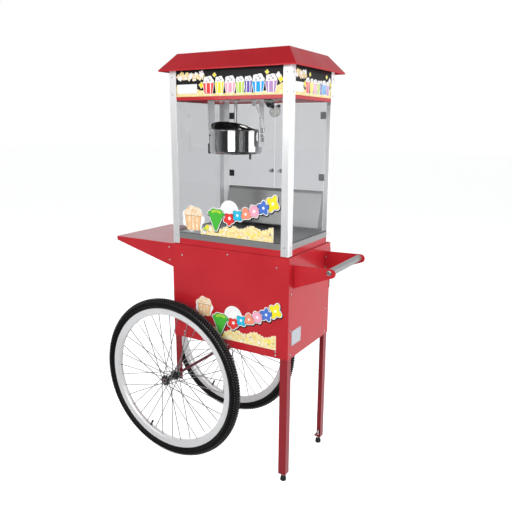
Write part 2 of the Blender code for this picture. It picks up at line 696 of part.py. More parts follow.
def make_wheel(side, name):
    """A spoked wheel: tyre, rim, and a hub with its spokes."""
    spot = (AXLE_X, side * WHEEL_Y, AXLE_Z)
    hub_axis = pivot(name + "_axis", spot, FRAME)
    center = WHEEL_RADIUS - TYRE_RADIUS
    seat = RIM_OUTER + GAP
    half_angle = math.degrees(math.acos((seat - center) / TYRE_RADIUS))
    tyre = []
    for radius, height in arc((0.0, 0.0), TYRE_RADIUS, half_angle, -half_angle, 12):
        tyre.append((center + radius, height))
    turned(name + "_tyre", tyre, spot, "Y", 56, "rubber", hub_axis, ring=True)
    rim = [(RIM_OUTER, 0.0130), (RIM_OUTER, -0.0130), (0.2860, -0.0140), (0.2720, -0.0125),
           (RIM_INNER, -0.0060), (RIM_INNER, 0.0060), (0.2720, 0.0125), (0.2860, 0.0140)]
    turned(name + "_rim", rim, spot, "Y", 56, "chrome", hub_axis, ring=True)
    bore = AXLE_RADIUS + 0.0004
    flange = FLANGE_SPACING
    upper = [(0.0100, 0.038), (0.0100, flange + 0.00175), (0.0210, flange + 0.00175),
             (0.0210, flange - 0.00175), (0.0120, flange - 0.0045)]
    lower = [(radius, -height) for radius, height in reversed(upper)]
    profile = [(bore, 0.038)] + upper + lower + [(bore, -0.038)]
    hub = turned(name + "_hub", profile, spot, "Y", 20, "chrome", hub_axis, ring=True)
    shape = bmesh.new()
    add_spokes(shape)
    mesh = bpy.data.meshes.new(name + "_spokes")
    shape.to_mesh(mesh)
    shape.free()
    spokes = add_object(name + "_spokes", mesh, spot, hub_axis, CUTTERS)
    spokes.rotation_euler = TURNS["Y"]
    combine(hub, spokes, "UNION")


make_roof()
make_posts()
glazing_frame("bottom_rail", RAIL_LOW, RAIL_HIGH, RAIL_DEPTH, (RAIL_LOW + 0.0115, RAIL_HIGH + 0.002),
              "aluminium")
glazing_frame("trim_strip", TRIM_LOW, TRIM_HIGH, TRIM_DEPTH, (TRIM_LOW - 0.002, TRIM_HIGH - 0.0035),
              "red")
make_panes()
make_base()
make_drawer()
make_rear()
make_ceiling()
make_hangers()
make_kettle()
make_cable()
make_cart()
make_legs()
make_shelf()
make_handle()
rod("axle", (AXLE_X, 0.0, AXLE_Z), AXLE_RADIUS, 2 * AXLE_HALF, "Y", "maroon", FRAME)
make_wheel(-1, "wheel_front")
make_wheel(1, "wheel_rear")
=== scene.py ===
"""Looks of the popcorn cart: materials, lights, camera and the fine pieces.

Metres, +Z up, front toward -Y. Every piece is placed from the boxes of the CAD nodes.
"""
import math
import random

import bmesh
import bpy
from mathutils import Matrix, Vector


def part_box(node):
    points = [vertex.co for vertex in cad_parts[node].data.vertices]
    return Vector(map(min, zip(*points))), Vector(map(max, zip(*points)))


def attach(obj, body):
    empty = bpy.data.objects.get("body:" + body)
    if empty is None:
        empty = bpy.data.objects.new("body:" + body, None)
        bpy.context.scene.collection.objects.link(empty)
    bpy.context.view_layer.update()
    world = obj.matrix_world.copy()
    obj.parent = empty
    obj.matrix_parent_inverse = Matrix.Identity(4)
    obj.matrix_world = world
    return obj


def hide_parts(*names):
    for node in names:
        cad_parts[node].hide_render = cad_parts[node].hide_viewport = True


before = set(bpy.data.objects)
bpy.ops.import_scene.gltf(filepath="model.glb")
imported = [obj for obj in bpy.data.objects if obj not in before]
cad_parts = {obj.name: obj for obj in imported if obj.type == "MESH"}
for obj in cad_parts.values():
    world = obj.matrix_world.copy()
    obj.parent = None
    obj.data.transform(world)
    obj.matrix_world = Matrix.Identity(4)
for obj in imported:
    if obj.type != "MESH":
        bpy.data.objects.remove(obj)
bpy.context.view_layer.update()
DICE = random.Random(7)

X, Y, Z = Vector((1, 0, 0)), Vector((0, 1, 0)), Vector((0, 0, 1))


def middle_of(node, up=0.5):
    """The middle of a CAD node's box, or a spot at another share of its height."""
    low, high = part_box(node)
    return Vector(((low.x + high.x) / 2, (low.y + high.y) / 2, low.z + (high.z - low.z) * up))


MIDDLE = middle_of("roof").x  # the cabinet's middle plane
PIVOT_Z = 1.277  # the kettle's tipping axis
SIGN_HALF = 0.219  # half the front sign's printed width
PRINT_GAP = 0.00005  # between a panel and the print on it
LAYER = 0.00001  # the unit that the lift of a layer of ink is given in


# ---- scene objects and shader nodes

def placed(name, data):
    """A new object in the scene."""
    obj = bpy.data.objects.new(name, data)
    bpy.context.scene.collection.objects.link(obj)
    return obj


class Graph:
    """The node tree of a material or of the world."""

    def __init__(self, owner):
        owner.use_nodes = True
        self.owner = owner
        self.nodes, self.links = owner.node_tree.nodes, owner.node_tree.links

    def feed(self, node, inputs):
        """Fills a node's inputs, each with a value or from another node's output."""
        for name, value in inputs.items():
            if isinstance(value, bpy.types.NodeSocket):
                self.links.new(value, node.inputs[name])
            else:
                node.inputs[name].default_value = value

    def add(self, kind, inputs, output=0, **settings):
        """A new node, for one of its outputs."""
        node = self.nodes.new("ShaderNode" + kind)
        for name, value in settings.items():
            setattr(node, name, value)
        self.feed(node, inputs)
        return node.outputs[output]

    def cloud(self, scale, detail=3.0):
        """A noise pattern fixed to the piece, with one scale for all axes or one for each."""
        scales = scale if isinstance(scale, tuple) else (scale,) * 3
        spread = self.add("Mapping", {"Vector": self.add("TexCoord", {}, "Object"), "Scale": scales})
        return self.add("TexNoise", {"Vector": spread, "Scale": 1.0, "Detail": detail})

    def ranged(self, value, low, high, start=0.3, stop=0.7):
        """A value that runs from low to high while another runs from start to stop."""
        return self.add("MapRange", {"Value": value, "From Min": start, "From Max": stop,
                                     "To Min": low, "To Max": high})

    def blended(self, factor, first, second):
        """A mix of two colours, each given as numbers or as another node's output."""
        one, two = ((*color, 1.0) if isinstance(color, tuple) else color for color in (first, second))
        return self.add("Mix", {0: factor, 6: one, 7: two}, 2, data_type="RGBA")


# ---- camera, world, lights

def make_camera():
    camera = placed("camera", bpy.data.cameras.new("camera"))
    bpy.context.scene.camera = camera
    camera.data.lens = 39.93
    camera.data.sensor_width = 36.0
    yaw, pitch, roll = math.radians(30.7112), math.radians(-12.7423), math.radians(0.3668)
    forward = Vector((
        -math.sin(yaw) * math.cos(pitch), math.cos(yaw) * math.cos(pitch), math.sin(pitch),
    ))
    level = Vector((math.cos(yaw), math.sin(yaw), 0.0))
    above = level.cross(forward)
    right = math.cos(roll) * level + math.sin(roll) * above
    top = math.cos(roll) * above - math.sin(roll) * level
    place = Matrix((right, top, -forward)).transposed().to_4x4()
    place.translation = Vector((1.2052, -1.8654, 1.3065))
    camera.matrix_world = place


def make_world():
    """White to the camera. Everything else sees a grey sky that is brighter on one side."""
    world = bpy.data.worlds.new("studio")
    bpy.context.scene.world = world
    graph = Graph(world)
    white = graph.nodes["Background"]
    graph.feed(white, {"Color": (1.0, 1.0, 1.0, 1.0)})
    place = graph.add("TexCoord", {}, "Generated")
    slope = graph.add("VectorMath", {0: place, 1: (-0.56, 0.7, -0.44)}, "Value",
                      operation="DOT_PRODUCT")
    glow = graph.add("MapRange", {"Value": slope, "From Min": -0.45, "From Max": 0.65,
                                  "To Min": 0.06, "To Max": 0.85}, interpolation_type="SMOOTHSTEP")
    sky = graph.add("Background", {"Color": (0.95, 0.97, 1.0, 1.0), "Strength": glow})
    seen = graph.add("LightPath", {}, "Is Camera Ray")
    mix = graph.add("MixShader", {0: seen, 1: sky, 2: white.outputs[0]})
    graph.feed(graph.nodes["World Output"], {"Surface": mix})


def softbox(name, spot, aim, width, height, power, mirrored=True):
    lamp = bpy.data.lights.new(name, "AREA")
    lamp.shape = "RECTANGLE"
    lamp.size, lamp.size_y = width, height
    lamp.energy = power
    obj = placed(name, lamp)
    obj.location = spot
    obj.rotation_euler = (Vector(aim) - Vector(spot)).to_track_quat("-Z", "Y").to_euler()
    obj.visible_camera = False
    obj.visible_glossy = mirrored


def make_lights():
    softbox("key", (0.75, -3.1, 1.75), (0.0, 0.0, 1.1), 1.75, 2.4, 74.0)
    softbox("high", (-1.15, -2.8, 2.1), (0.3, -0.2, 1.4), 1.1, 1.2, 17.0)
    softbox("side", (2.8, 1.0, 1.35), (0.0, 0.0, 1.1), 2.2, 2.3, 54.0)
    softbox("back", (-2.6, 1.6, 3.1), (0.0, 0.0, 0.9), 2.0, 1.6, 26.0)
    softbox("right", (2.5, -0.5, 1.5), (0.3, 0.0, 0.9), 1.0, 0.8, 13.0, False)
    softbox("cabinet", (MIDDLE + 0.16, -0.12, 0.96), (MIDDLE - 0.21, 0.15, 1.2), 0.1, 0.06, 0.45,
            False)


# ---- materials

def surface(name, color, metallic, roughness, grain=40, vary=0.06, spread=0.05,
            bump=0.0, bump_grain=900, dust=None, **sockets):
    """A material whose colour, roughness and fine relief all come from noise."""
    graph = Graph(bpy.data.materials.new(name))
    pattern = graph.cloud(grain)
    dark = tuple(value * (1.0 - vary) for value in color)
    light = tuple(min(1.0, value * (1.0 + vary)) for value in color)
    shade = graph.blended(graph.ranged(pattern, 0.0, 1.0), dark, light)
    if dust is not None:
        veil = graph.ranged(graph.cloud(26, 6.0), -0.5, dust[1])
        shade = graph.blended(veil, shade, dust[0])
    rough = graph.ranged(pattern, max(0.02, roughness - spread), roughness + spread)
    inputs = {"Base Color": shade, "Metallic": metallic, "Roughness": rough}
    if bump:
        height = graph.cloud(bump_grain, 2.0)
        inputs["Normal"] = graph.add("Bump", {"Strength": 1.0, "Distance": bump, "Height": height})
    for socket, value in sockets.items():
        inputs[socket.replace("_", " ")] = value
    graph.feed(graph.nodes["Principled BSDF"], inputs)
    return graph.owner


def clear(name, tint, roughness):
    """Thin clear sheet: tinted see-through, with a mirror film and faint smears."""
    graph = Graph(bpy.data.materials.new(name))
    graph.nodes.remove(graph.nodes["Principled BSDF"])
    through = graph.add("BsdfTransparent", {"Color": (*tint, 1.0)})
    smear = graph.ranged(graph.cloud((5, 5, 9), 5.0), roughness, roughness + 0.05)
    film = graph.add("BsdfGlossy", {"Roughness": smear})
    edge = graph.add("LayerWeight", {"Blend": 0.09}, "Facing")
    sight = graph.add("MixShader", {0: edge, 1: through, 2: film})
    shade = graph.add("BsdfTransparent", {"Color": (0.96, 0.96, 0.96, 1.0)})
    shadow = graph.add("LightPath", {}, "Is Shadow Ray")
    out = graph.add("MixShader", {0: shadow, 1: sight, 2: shade})
    graph.feed(graph.nodes["Material Output"], {"Surface": out})
    return graph.owner


def popcorn_print(name, light, dark):
    """Printed popcorn: rounded cells with darker edges."""
    graph = Graph(bpy.data.materials.new(name))
    place = graph.add("TexCoord", {}, "Object")
    cells = graph.add("TexVoronoi", {"Vector": place, "Scale": 95.0}, "Distance")
    shade = graph.blended(graph.ranged(cells, 0.0, 1.0, 0.35, 0.75), light, dark)
    rough = graph.ranged(graph.cloud(50), 0.3, 0.42)
    graph.feed(graph.nodes["Principled BSDF"], {"Base Color": shade, "Roughness": rough})
    return graph.owner


# After the name and colour: metallic, roughness, the grain of the noise, how much the colour varies
# and how much the roughness does.
PAINT = dict(bump=0.00002, bump_grain=420, Coat_Weight=0.45, Coat_Roughness=0.08,
             Specular_IOR_Level=0.4)
RED = surface("red_enamel", (0.495, 0.012, 0.02), 0.0, 0.34, 9, 0.05, 0.05, **PAINT)
# The roof's red is a slightly darker, less glossy copy of the red enamel: painted shade on the roof
# slopes.
ROOF_SHADED_RED = surface("roof_red_painted_shade", (0.48, 0.012, 0.02), 0.0, 0.42, 9, 0.05, 0.05, bump=0.00002,
               bump_grain=420, Coat_Weight=0.12, Coat_Roughness=0.12, Specular_IOR_Level=0.22)
# The legs' red is a darker copy of the red enamel: painted shade for the legs low down and behind the
# wheels.
LEG_SHADED_RED = surface("leg_red_painted_shade", (0.28, 0.011, 0.018), 0.0, 0.36, 12, 0.06, 0.05, **PAINT)
MAROON = surface("axle_enamel", (0.13, 0.01, 0.022), 0.0, 0.38, 30, 0.12, 0.06, **PAINT)
ANODISED = dict(color=(0.9, 0.903, 0.91), grain=(650, 650, 5), vary=0.03, spread=0.04,
                bump=0.000003, bump_grain=(1500, 1500, 9))
ALUMINIUM = surface("anodised_aluminium", metallic=0.58, roughness=0.34, **ANODISED)
# The rear posts get a less metallic copy of the post aluminium, which shows brighter: painted light
# inside the cabinet.
REAR_POST_LIT_ALUMINIUM = surface("aluminium_painted_light", metallic=0.2, roughness=0.36, **ANODISED)
RAIL = surface("anodised_rail", (0.4, 0.396, 0.392), 0.75, 0.36, (5, 5, 700), 0.05, 0.07,
               bump=0.000006, bump_grain=(9, 9, 1500))
STEEL = surface("brushed_steel", (0.54, 0.535, 0.522), 1.0, 0.3, (6, 900, 900), 0.02, 0.03,
                bump=0.0000015, bump_grain=(10, 1600, 1600))
CHUTE = surface("chute_steel", (0.37, 0.367, 0.36), 1.0, 0.36, (6, 900, 900), 0.03, 0.03,
                bump=0.000003, bump_grain=(10, 1600, 1600))
MIRROR = surface("polished_steel", (0.7, 0.695, 0.685), 1.0, 0.04, (5, 5, 500), 0.03, 0.012,
                 bump=0.000002, bump_grain=(8, 8, 1300))
RIM = surface("rim_alloy", (0.78, 0.784, 0.792), 0.25, 0.3, 400, 0.02, 0.02,
              bump=0.000001, bump_grain=900)
SPOKE = surface("spoke_steel", (0.33, 0.332, 0.34), 0.8, 0.34, 90, 0.12, 0.08)
ZINC = surface("zinc_screw", (0.64, 0.64, 0.65), 1.0, 0.3, 300, 0.1, 0.08)
BLACK = surface("black_metal", (0.018, 0.018, 0.02), 0.0, 0.36, 60, 0.25, 0.08,
                bump=0.00003, bump_grain=700)
PLASTIC = surface("black_plastic", (0.02, 0.02, 0.022), 0.0, 0.48, 80, 0.2, 0.06,
                  bump=0.00004, bump_grain=1400)
TYRE = surface("tyre_rubber", (0.0052, 0.005, 0.0052), 0.0, 0.5, 70, 0.25, 0.08,
               bump=0.00012, bump_grain=420, dust=((0.014, 0.013, 0.012), 0.25),
               Specular_IOR_Level=0.16)
# The knob rubber is lighter than the carcass: a painted highlight on the knob tops.
TREAD_HIGHLIGHT = surface("tread_rubber_painted_highlight", (0.036, 0.035, 0.035), 0.0, 0.36, 70, 0.3, 0.08,
                Specular_IOR_Level=0.5)
RUBBER = surface("foot_rubber", (0.014, 0.014, 0.014), 0.0, 0.66, 90, 0.2, 0.06,
                 bump=0.00006, bump_grain=800)
SLEEVE = surface("white_sleeve", (0.78, 0.78, 0.76), 0.0, 0.55, 500, 0.08, 0.06,
                 bump=0.0002, bump_grain=1600)
SIGN = surface("sign_black", (0.014, 0.013, 0.014), 0.0, 0.3, 20, 0.2, 0.04,
               Specular_IOR_Level=0.12)
GLOW = surface("filament", (0.3, 0.29, 0.28), 1.0, 0.35, 400, 0.1, 0.05)
GLASS = clear("tempered_glass", (0.895, 0.9, 0.905), 0.004)
SHEET = clear("clear_door", (0.89, 0.893, 0.9), 0.012)
BULB = clear("bulb_glass", (0.93, 0.93, 0.92), 0.004)

INKS = {
    "black": (0.012, 0.012, 0.013), "white": (0.9, 0.9, 0.89), "peach": (0.86, 0.52, 0.26),
    "green": (0.07, 0.48, 0.05), "red": (0.76, 0.045, 0.04), "cyan": (0.03, 0.48, 0.72),
    "orange": (0.88, 0.29, 0.18), "pink": (0.86, 0.38, 0.52), "blue": (0.07, 0.18, 0.62),
    "yellow": (0.9, 0.76, 0.03), "lime": (0.48, 0.68, 0.06), "violet": (0.14, 0.09, 0.42),
    "sky": (0.01, 0.36, 0.82), "purple": (0.48, 0.26, 0.54), "grey": (0.42, 0.42, 0.43),
    "silver": (0.5, 0.53, 0.57),
}
INK = {}
for ink_name, ink_color in INKS.items():
    INK[ink_name] = surface("ink_" + ink_name, ink_color, 0.0, 0.36, 1400, 0.07, 0.04,
                            Specular_IOR_Level=0.22)
INK["cream"] = popcorn_print("ink_cream", (0.9, 0.79, 0.42), (0.84, 0.64, 0.24))
INK["froth"] = popcorn_print("ink_froth", (0.9, 0.8, 0.62), (0.82, 0.52, 0.28))


# ---- mesh building

class Build:
    """Collects closed shapes, each with its material, into one piece."""

    def __init__(self):
        self.mesh = bmesh.new()
        self.materials = []

    def index(self, material):
        if material not in self.materials:
            self.materials.append(material)
        return self.materials.index(material)

    def skin(self, points, faces, material):
        slot = self.index(material)
        corners = [self.mesh.verts.new(point) for point in points]
        for face in faces:
            self.mesh.faces.new([corners[number] for number in face]).material_index = slot

    def block(self, low, high, material, round_off=0.0003, spot=(0, 0, 0)):
        """A box between two corners, measured from a spot, with its edges taken off."""
        low, high = Vector(spot) + Vector(low), Vector(spot) + Vector(high)
        for axis in range(3):
            if low[axis] > high[axis]:
                low[axis], high[axis] = high[axis], low[axis]
        slot = self.index(material)
        size = high - low
        place = Matrix.Translation((low + high) / 2) @ Matrix.Diagonal((*size, 1.0))
        made = bmesh.ops.create_cube(self.mesh, size=1.0, matrix=place)["verts"]
        edges = list(dict.fromkeys(edge for vert in made for edge in vert.link_edges))
        faces = list(dict.fromkeys(face for vert in made for face in vert.link_faces))
        width = min(round_off, min(size) * 0.3)
        done = bmesh.ops.bevel(self.mesh, geom=made + edges, offset=width, segments=2, profile=0.5,
                               affect="EDGES")["faces"]
        for face in faces + done:
            if face.is_valid:
                face.material_index = slot

    def lathe(self, profile, spot, axis, material, segments=48, ring=False):
        """A round shape from (radius, height) points along an axis. A ring closes on itself."""
        facing = Vector(axis).to_track_quat("Z", "X").to_matrix()
        points, rows = [], []
        for radius, height in profile:
            row = []
            for step in range(1 if radius < 1e-7 else segments):
                angle = 2 * math.pi * step / segments
                row.append(len(points))
                points.append(Vector(spot) + facing @ Vector((
                    radius * math.cos(angle), radius * math.sin(angle), height,
                )))
            rows.append(row)
        faces = []
        for one, two in zip(rows, rows[1:] + (rows[:1] if ring else [])):
            for step in range(segments):
                after = (step + 1) % segments
                face = [one[step % len(one)], one[after % len(one)],
                        two[after % len(two)], two[step % len(two)]]
                face = list(dict.fromkeys(face))
                if len(face) > 2:
                    faces.append(face)
        self.skin(points, faces, material)

    def ring(self, spot, axis, inner, outer, low, high, material, segments=32):
        """A washer or a collar."""
        self.lathe([(inner, low), (outer, low), (outer, high), (inner, high)], spot, axis,
                   material, segments, ring=True)

    def disc(self, spot, axis, radius, low, high, material, segments=32):
        self.lathe([(0, low), (radius, low), (radius, high), (0, high)], spot, axis, material,
                   segments)

    def rod(self, start, end, radius, material, segments=16, tip=0.0):
        """A round bar between two points, with its end edges taken off."""
        start, end = Vector(start), Vector(end)
        length = (end - start).length
        tip = tip or radius * 0.12
        profile = [(0, 0), (radius - tip, 0), (radius, tip), (radius, length - tip),
                   (radius - tip, length), (0, length)]
        self.lathe(profile, start, end - start, material, segments)

    def screw(self, spot, axis, radius):
        """A pan-head screw with a cross in it."""
        head = [(0, -0.0002), (radius, -0.0002), (radius, radius * 0.25),
                (radius * 0.75, radius * 0.5), (radius * 0.4, radius * 0.6), (0, radius * 0.62)]
        self.lathe(head, spot, axis, ZINC, 20)
        facing = Vector(axis).to_track_quat("Z", "X").to_matrix()
        long, thin, low, high = radius * 0.5, radius * 0.1, radius * 0.45, radius * 0.66
        for wide, deep in ((long, thin), (thin, long)):
            points = [Vector(spot) + facing @ Vector((wide * a, deep * b, c))
                      for c in (low, high) for a, b in ((-1, -1), (1, -1), (1, 1), (-1, 1))]
            self.skin(points, CUBE_FACES, BLACK)

    def slab(self, loop, sheet, lift, material, thickness=0.00012):
        """A flat outline on a printed sheet, as a thin layer."""
        count = len(loop)
        points = [sheet(across, up, lift) for across, up in loop]
        points += [sheet(across, up, lift + thickness) for across, up in loop]
        faces = [list(range(count))[::-1], list(range(count, 2 * count))]
        faces += [[step, (step + 1) % count, (step + 1) % count + count, step + count]
                  for step in range(count)]
        self.skin(points, faces, material)

    def piece(self, name, body, slot, replaces=()):
        """Turns the shapes into one object that rides a body."""
        bmesh.ops.recalc_face_normals(self.mesh, faces=self.mesh.faces)
        mesh = bpy.data.meshes.new(name)
        self.mesh.to_mesh(mesh)
        self.mesh.free()
        for material in self.materials:
            mesh.materials.append(material)
        mesh.shade_smooth()
        mesh.set_sharp_from_angle(angle=math.radians(32))
        obj = placed(name, mesh)
        normals = obj.modifiers.new("normals", "WEIGHTED_NORMAL")  # wide faces stay flat
        normals.keep_sharp = True
        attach(obj, body)
        if replaces:
            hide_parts(*replaces)
        return obj


CUBE_FACES = [[0, 3, 2, 1], [4, 5, 6, 7], [0, 1, 5, 4], [1, 2, 6, 5], [2, 3, 7, 6], [3, 0, 4, 7]]


def arc(center, radius, start, stop, steps):
    points = []
    for step in range(steps + 1):
        angle = math.radians(start + (stop - start) * step / steps)
        points.append((center[0] + radius * math.cos(angle), center[1] + radius * math.sin(angle)))
    return points


def mirrored(half):
    """A round profile's upper half, and the same below the middle plane."""
    return half + [(radius, -height) for radius, height in reversed(half)]


# ---- CAD nodes that stay

STAYING = {
    ROOF_SHADED_RED: (0.00045, ["roof"]),
    RED: (0.00045, ["machine_base", "trim_strip", "control_panel", "cart_front_panel",
                    "cart_left_panel", "cart_right_panel", "cart_top", "cart_floor", "cart_door",
                    "shelf", "handle_arm_front", "handle_arm_rear"]),
    LEG_SHADED_RED: (0.00045, ["leg_front_left", "leg_front_right", "leg_rear_left", "leg_rear_right"]),
    MAROON: (0.0003, ["axle"]),
    ALUMINIUM: (0.0004, ["post_front_left", "post_front_right", "hanger_left", "hanger_right"]),
    REAR_POST_LIT_ALUMINIUM: (0.0004, ["post_rear_left", "post_rear_right"]),
    RAIL: (0.0004, ["bottom_rail"]),
    STEEL: (0.0003, ["floor_plate", "ceiling_plate", "crumb_drawer", "stirrer"]),
    CHUTE: (0.0003, ["rear_apron"]),
    MIRROR: (0.0003, ["lid_bar", "lid_flap_front", "lid_flap_rear"]),
    GLASS: (0.0004, ["glass_front", "glass_left", "glass_right"]),
    SHEET: (0.0005, ["door_left", "door_right"]),
    SIGN: (0.0002, ["sign_front", "sign_left", "sign_right"]),
    BLACK: (0.0004, ["motor", "drive_coupling", "lamp_socket"]),
    PLASTIC: (0.0006, ["switch_power", "switch_heat", "switch_light"]),
}


# Round parts keep their smooth shading.
TURNED = {"axle", "motor", "drive_coupling", "lamp_socket", "stirrer"}


def dress_nodes():
    """Gives the CAD nodes that stay their materials and soft edges."""
    for material, (width, names) in STAYING.items():
        for name in names:
            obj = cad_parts[name]
            if name not in TURNED:
                obj.data.shade_flat()  # folded sheet: no rounded shading across a face
            for slot in obj.material_slots:
                slot.material = material
            weld = obj.modifiers.new("weld", "WELD")
            weld.merge_threshold = 0.00002
            bevel = obj.modifiers.new("edges", "BEVEL")
            bevel.width = width
            bevel.segments = 2
            bevel.limit_method = "ANGLE"
            bevel.angle_limit = math.radians(40)
            bevel.use_clamp_overlap = True
            bevel.harden_normals = True


# ---- wheels

SPOKES_A_SIDE = 18
CROSSING = 0.00125  # crossing spokes pass this far on either side of each other


def around(angle):
    return Vector((math.cos(angle), 0, math.sin(angle)))


def spokes():
    """Each spoke's side of the wheel, its angle at the rim, and the way it leans."""
    for side in (-1, 1):
        for step in range(SPOKES_A_SIDE):
            degrees = 360 / SPOKES_A_SIDE * step + (10.0 if side > 0 else 0.0)
            yield side, math.radians(degrees), 1 if step % 2 == 0 else -1


def rim_end(spot, side, angle, lean, reach):
    """The end of a spoke at the rim, at a distance from the axle."""
    return spot + Y * (side * 0.0035 + lean * CROSSING) + around(angle) * reach


def knob(build, center, angle, tilt, reach, half_turn, half_tilt, spot):
    """One tread block: low corners in the carcass, high corners at the given reach."""
    points = []
    for height, share in ((0.016, 1.0), (reach, 0.78)):
        for a, b in ((-1, -1), (1, -1), (1, 1), (-1, 1)):
            turn, lean = angle + a * half_turn * share, tilt + b * half_tilt * share
            radius = center + height * math.cos(lean)
            points.append(spot + Vector((
                radius * math.cos(turn), height * 1.02 * math.sin(lean), radius * math.sin(turn),
            )))
    build.skin(points, CUBE_FACES, TREAD_HIGHLIGHT)


def make_tyre(name, spot):
    """A tyre with side ribs and five rows of tread blocks."""
    low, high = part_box(name + "_tyre")
    center = (high.z - low.z) / 2 - 0.022
    build = Build()
    carcass = [(center + 0.0176 * x, 0.0205 * y) for x, y in arc((0, 0), 1.0, 128, -128, 30)]
    carcass += [(center - 0.0172, -0.0118), (center - 0.0172, 0.0118)]
    build.lathe(carcass, spot, Y, TYRE, 168, ring=True)
    for side in (-1, 1):
        for radius, wide in ((center - 0.004, 0.0206), (center + 0.0045, 0.0203)):
            rib = [(radius - 0.001, side * (wide - 0.0012)), (radius, side * (wide + 0.0005)),
                   (radius + 0.001, side * (wide - 0.0012))]
            build.lathe(rib, spot, Y, TYRE, 168, ring=True)
    knobs = 190
    rows = ((-0.95, 0.5, 0.0215, 0.15), (-0.47, 0.0, 0.0219, 0.15), (0.0, 0.5, 0.022, 0.14),
            (0.47, 0.0, 0.0219, 0.15), (0.95, 0.5, 0.0215, 0.15))
    for tilt, phase, reach, half in rows:
        for step in range(knobs):
            angle = 2 * math.pi * (step + phase) / knobs
            knob(build, center, angle, tilt, reach, 0.0088, half, spot)
    build.piece(name + "_tyre_tread", name, "tyre", [name + "_tyre"])


def make_rim(name, spot):
    """The rim with its nipples and the valve."""
    low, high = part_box(name + "_rim")
    outer = (high.z - low.z) / 2
    inner = outer - 0.028
    build = Build()
    half = [(outer - 0.0075, 0.0118), (outer - 0.0006, 0.0122), (outer, 0.013),
            (outer - 0.0006, 0.0139), (outer - 0.002, 0.014), (outer - 0.0024, 0.0135),
            (outer - 0.0125, 0.0133), (outer - 0.0129, 0.0138), (outer - 0.0145, 0.0138),
            (outer - 0.019, 0.0118), (outer - 0.025, 0.0085), (inner + 0.0012, 0.0062),
            (inner, 0.004)]
    build.lathe(mirrored(half), spot, Y, RIM, 168, ring=True)
    nipple = [(0, 0.0005), (0.0026, 0.0005), (0.0026, -0.0008), (0.0019, -0.0012),
              (0.0019, -0.0085), (0.0013, -0.011), (0, -0.011)]
    for side, angle, lean in spokes():
        build.lathe(nipple, rim_end(spot, side, angle, lean, inner), around(angle), ZINC, 10)
    out = around(math.radians(245))
    build.lathe([(0, 0.0005), (0.0056, 0.0005), (0.0048, -0.003), (0.0038, -0.007),
                 (0.0038, -0.014), (0.0044, -0.0145), (0.0044, -0.022), (0.0034, -0.0235),
                 (0, -0.0235)], spot + out * inner, out, PLASTIC, 16)
    build.piece(name + "_rim_alloy", name, "chrome", [name + "_rim"])


def make_hub(name, spot):
    """The hub's shell with two collars, and the spokes from its flanges to the rim."""
    half = 0.03
    shell = [(0.0068, half + 0.002), (0.015, half + 0.002), (0.0205, half + 0.0014),
             (0.0212, half), (0.0205, half - 0.0014), (0.015, half - 0.0024),
             (0.0112, half - 0.007), (0.01, half - 0.014)]
    build = Build()
    build.lathe(mirrored(shell), spot, Y, BLACK, 48, ring=True)
    for end in (-1, 1):
        build.ring(spot, Y, 0.0066, 0.0098, end * (half + 0.0018), end * (half + 0.0036), SPOKE, 24)
    head = [(0, -0.0008), (0.002, -0.0008), (0.0022, 0), (0.002, 0.0008), (0, 0.0008)]
    for side, angle, lean in spokes():
        start = spot + Y * (side * half + lean * 2 * CROSSING)
        start += around(angle + math.radians(60 * lean)) * 0.0175
        build.rod(start, rim_end(spot, side, angle, lean, 0.2615), 0.0016, SPOKE, 8)
        build.lathe(head, start, Y, SPOKE, 10)
    build.piece(name + "_hub_spokes", name, "chrome", [name + "_hub"])


def hexagon(build, spot, axis, low, high, radius, material):
    """A hexagon nut with rounded corners."""
    span = high - low
    build.lathe([(0, low), (radius * 0.86, low), (radius, low + span * 0.12),
                 (radius, high - span * 0.2), (radius * 0.86, high), (0, high)],
                spot, axis, material, 6)


def make_axle_hardware():
    """On each side: nuts and a washer about the leg, a collar, and a nut at the axle's tip."""
    build = Build()
    axle, end = middle_of("axle"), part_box("axle")[1].y
    legs = ((-1, -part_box("leg_front_left")[0].y), (1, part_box("leg_rear_left")[1].y))
    for side, face in legs:
        axis = Y * side
        build.ring(axle, axis, 0.0064, 0.0135, face + 0.0004, face + 0.002, ZINC)
        build.ring(axle, axis, 0.0064, 0.0088, face + 0.0078, face + 0.0124, BLACK)
        for low, high, radius, material in (
                (face + 0.002, face + 0.0078, 0.0112, BLACK),
                (face - 0.0086, face - 0.0028, 0.0112, BLACK),
                (end - 0.004, end - 0.0004, 0.01, ZINC)):
            hexagon(build, axle, axis, low, high, radius, material)
        build.lathe([(0, end - 0.0005), (0.0052, end - 0.0005), (0.0046, end), (0, end)],
                    axle, axis, SPOKE, 24)
    build.piece("axle_hardware", "body", "black_metal")


def make_wheels():
    for name in ("wheel_front", "wheel_rear"):
        spot = middle_of(name + "_rim")
        make_tyre(name, spot)
        make_rim(name, spot)
        make_hub(name, spot)
    make_axle_hardware()


# ---- kettle and ceiling

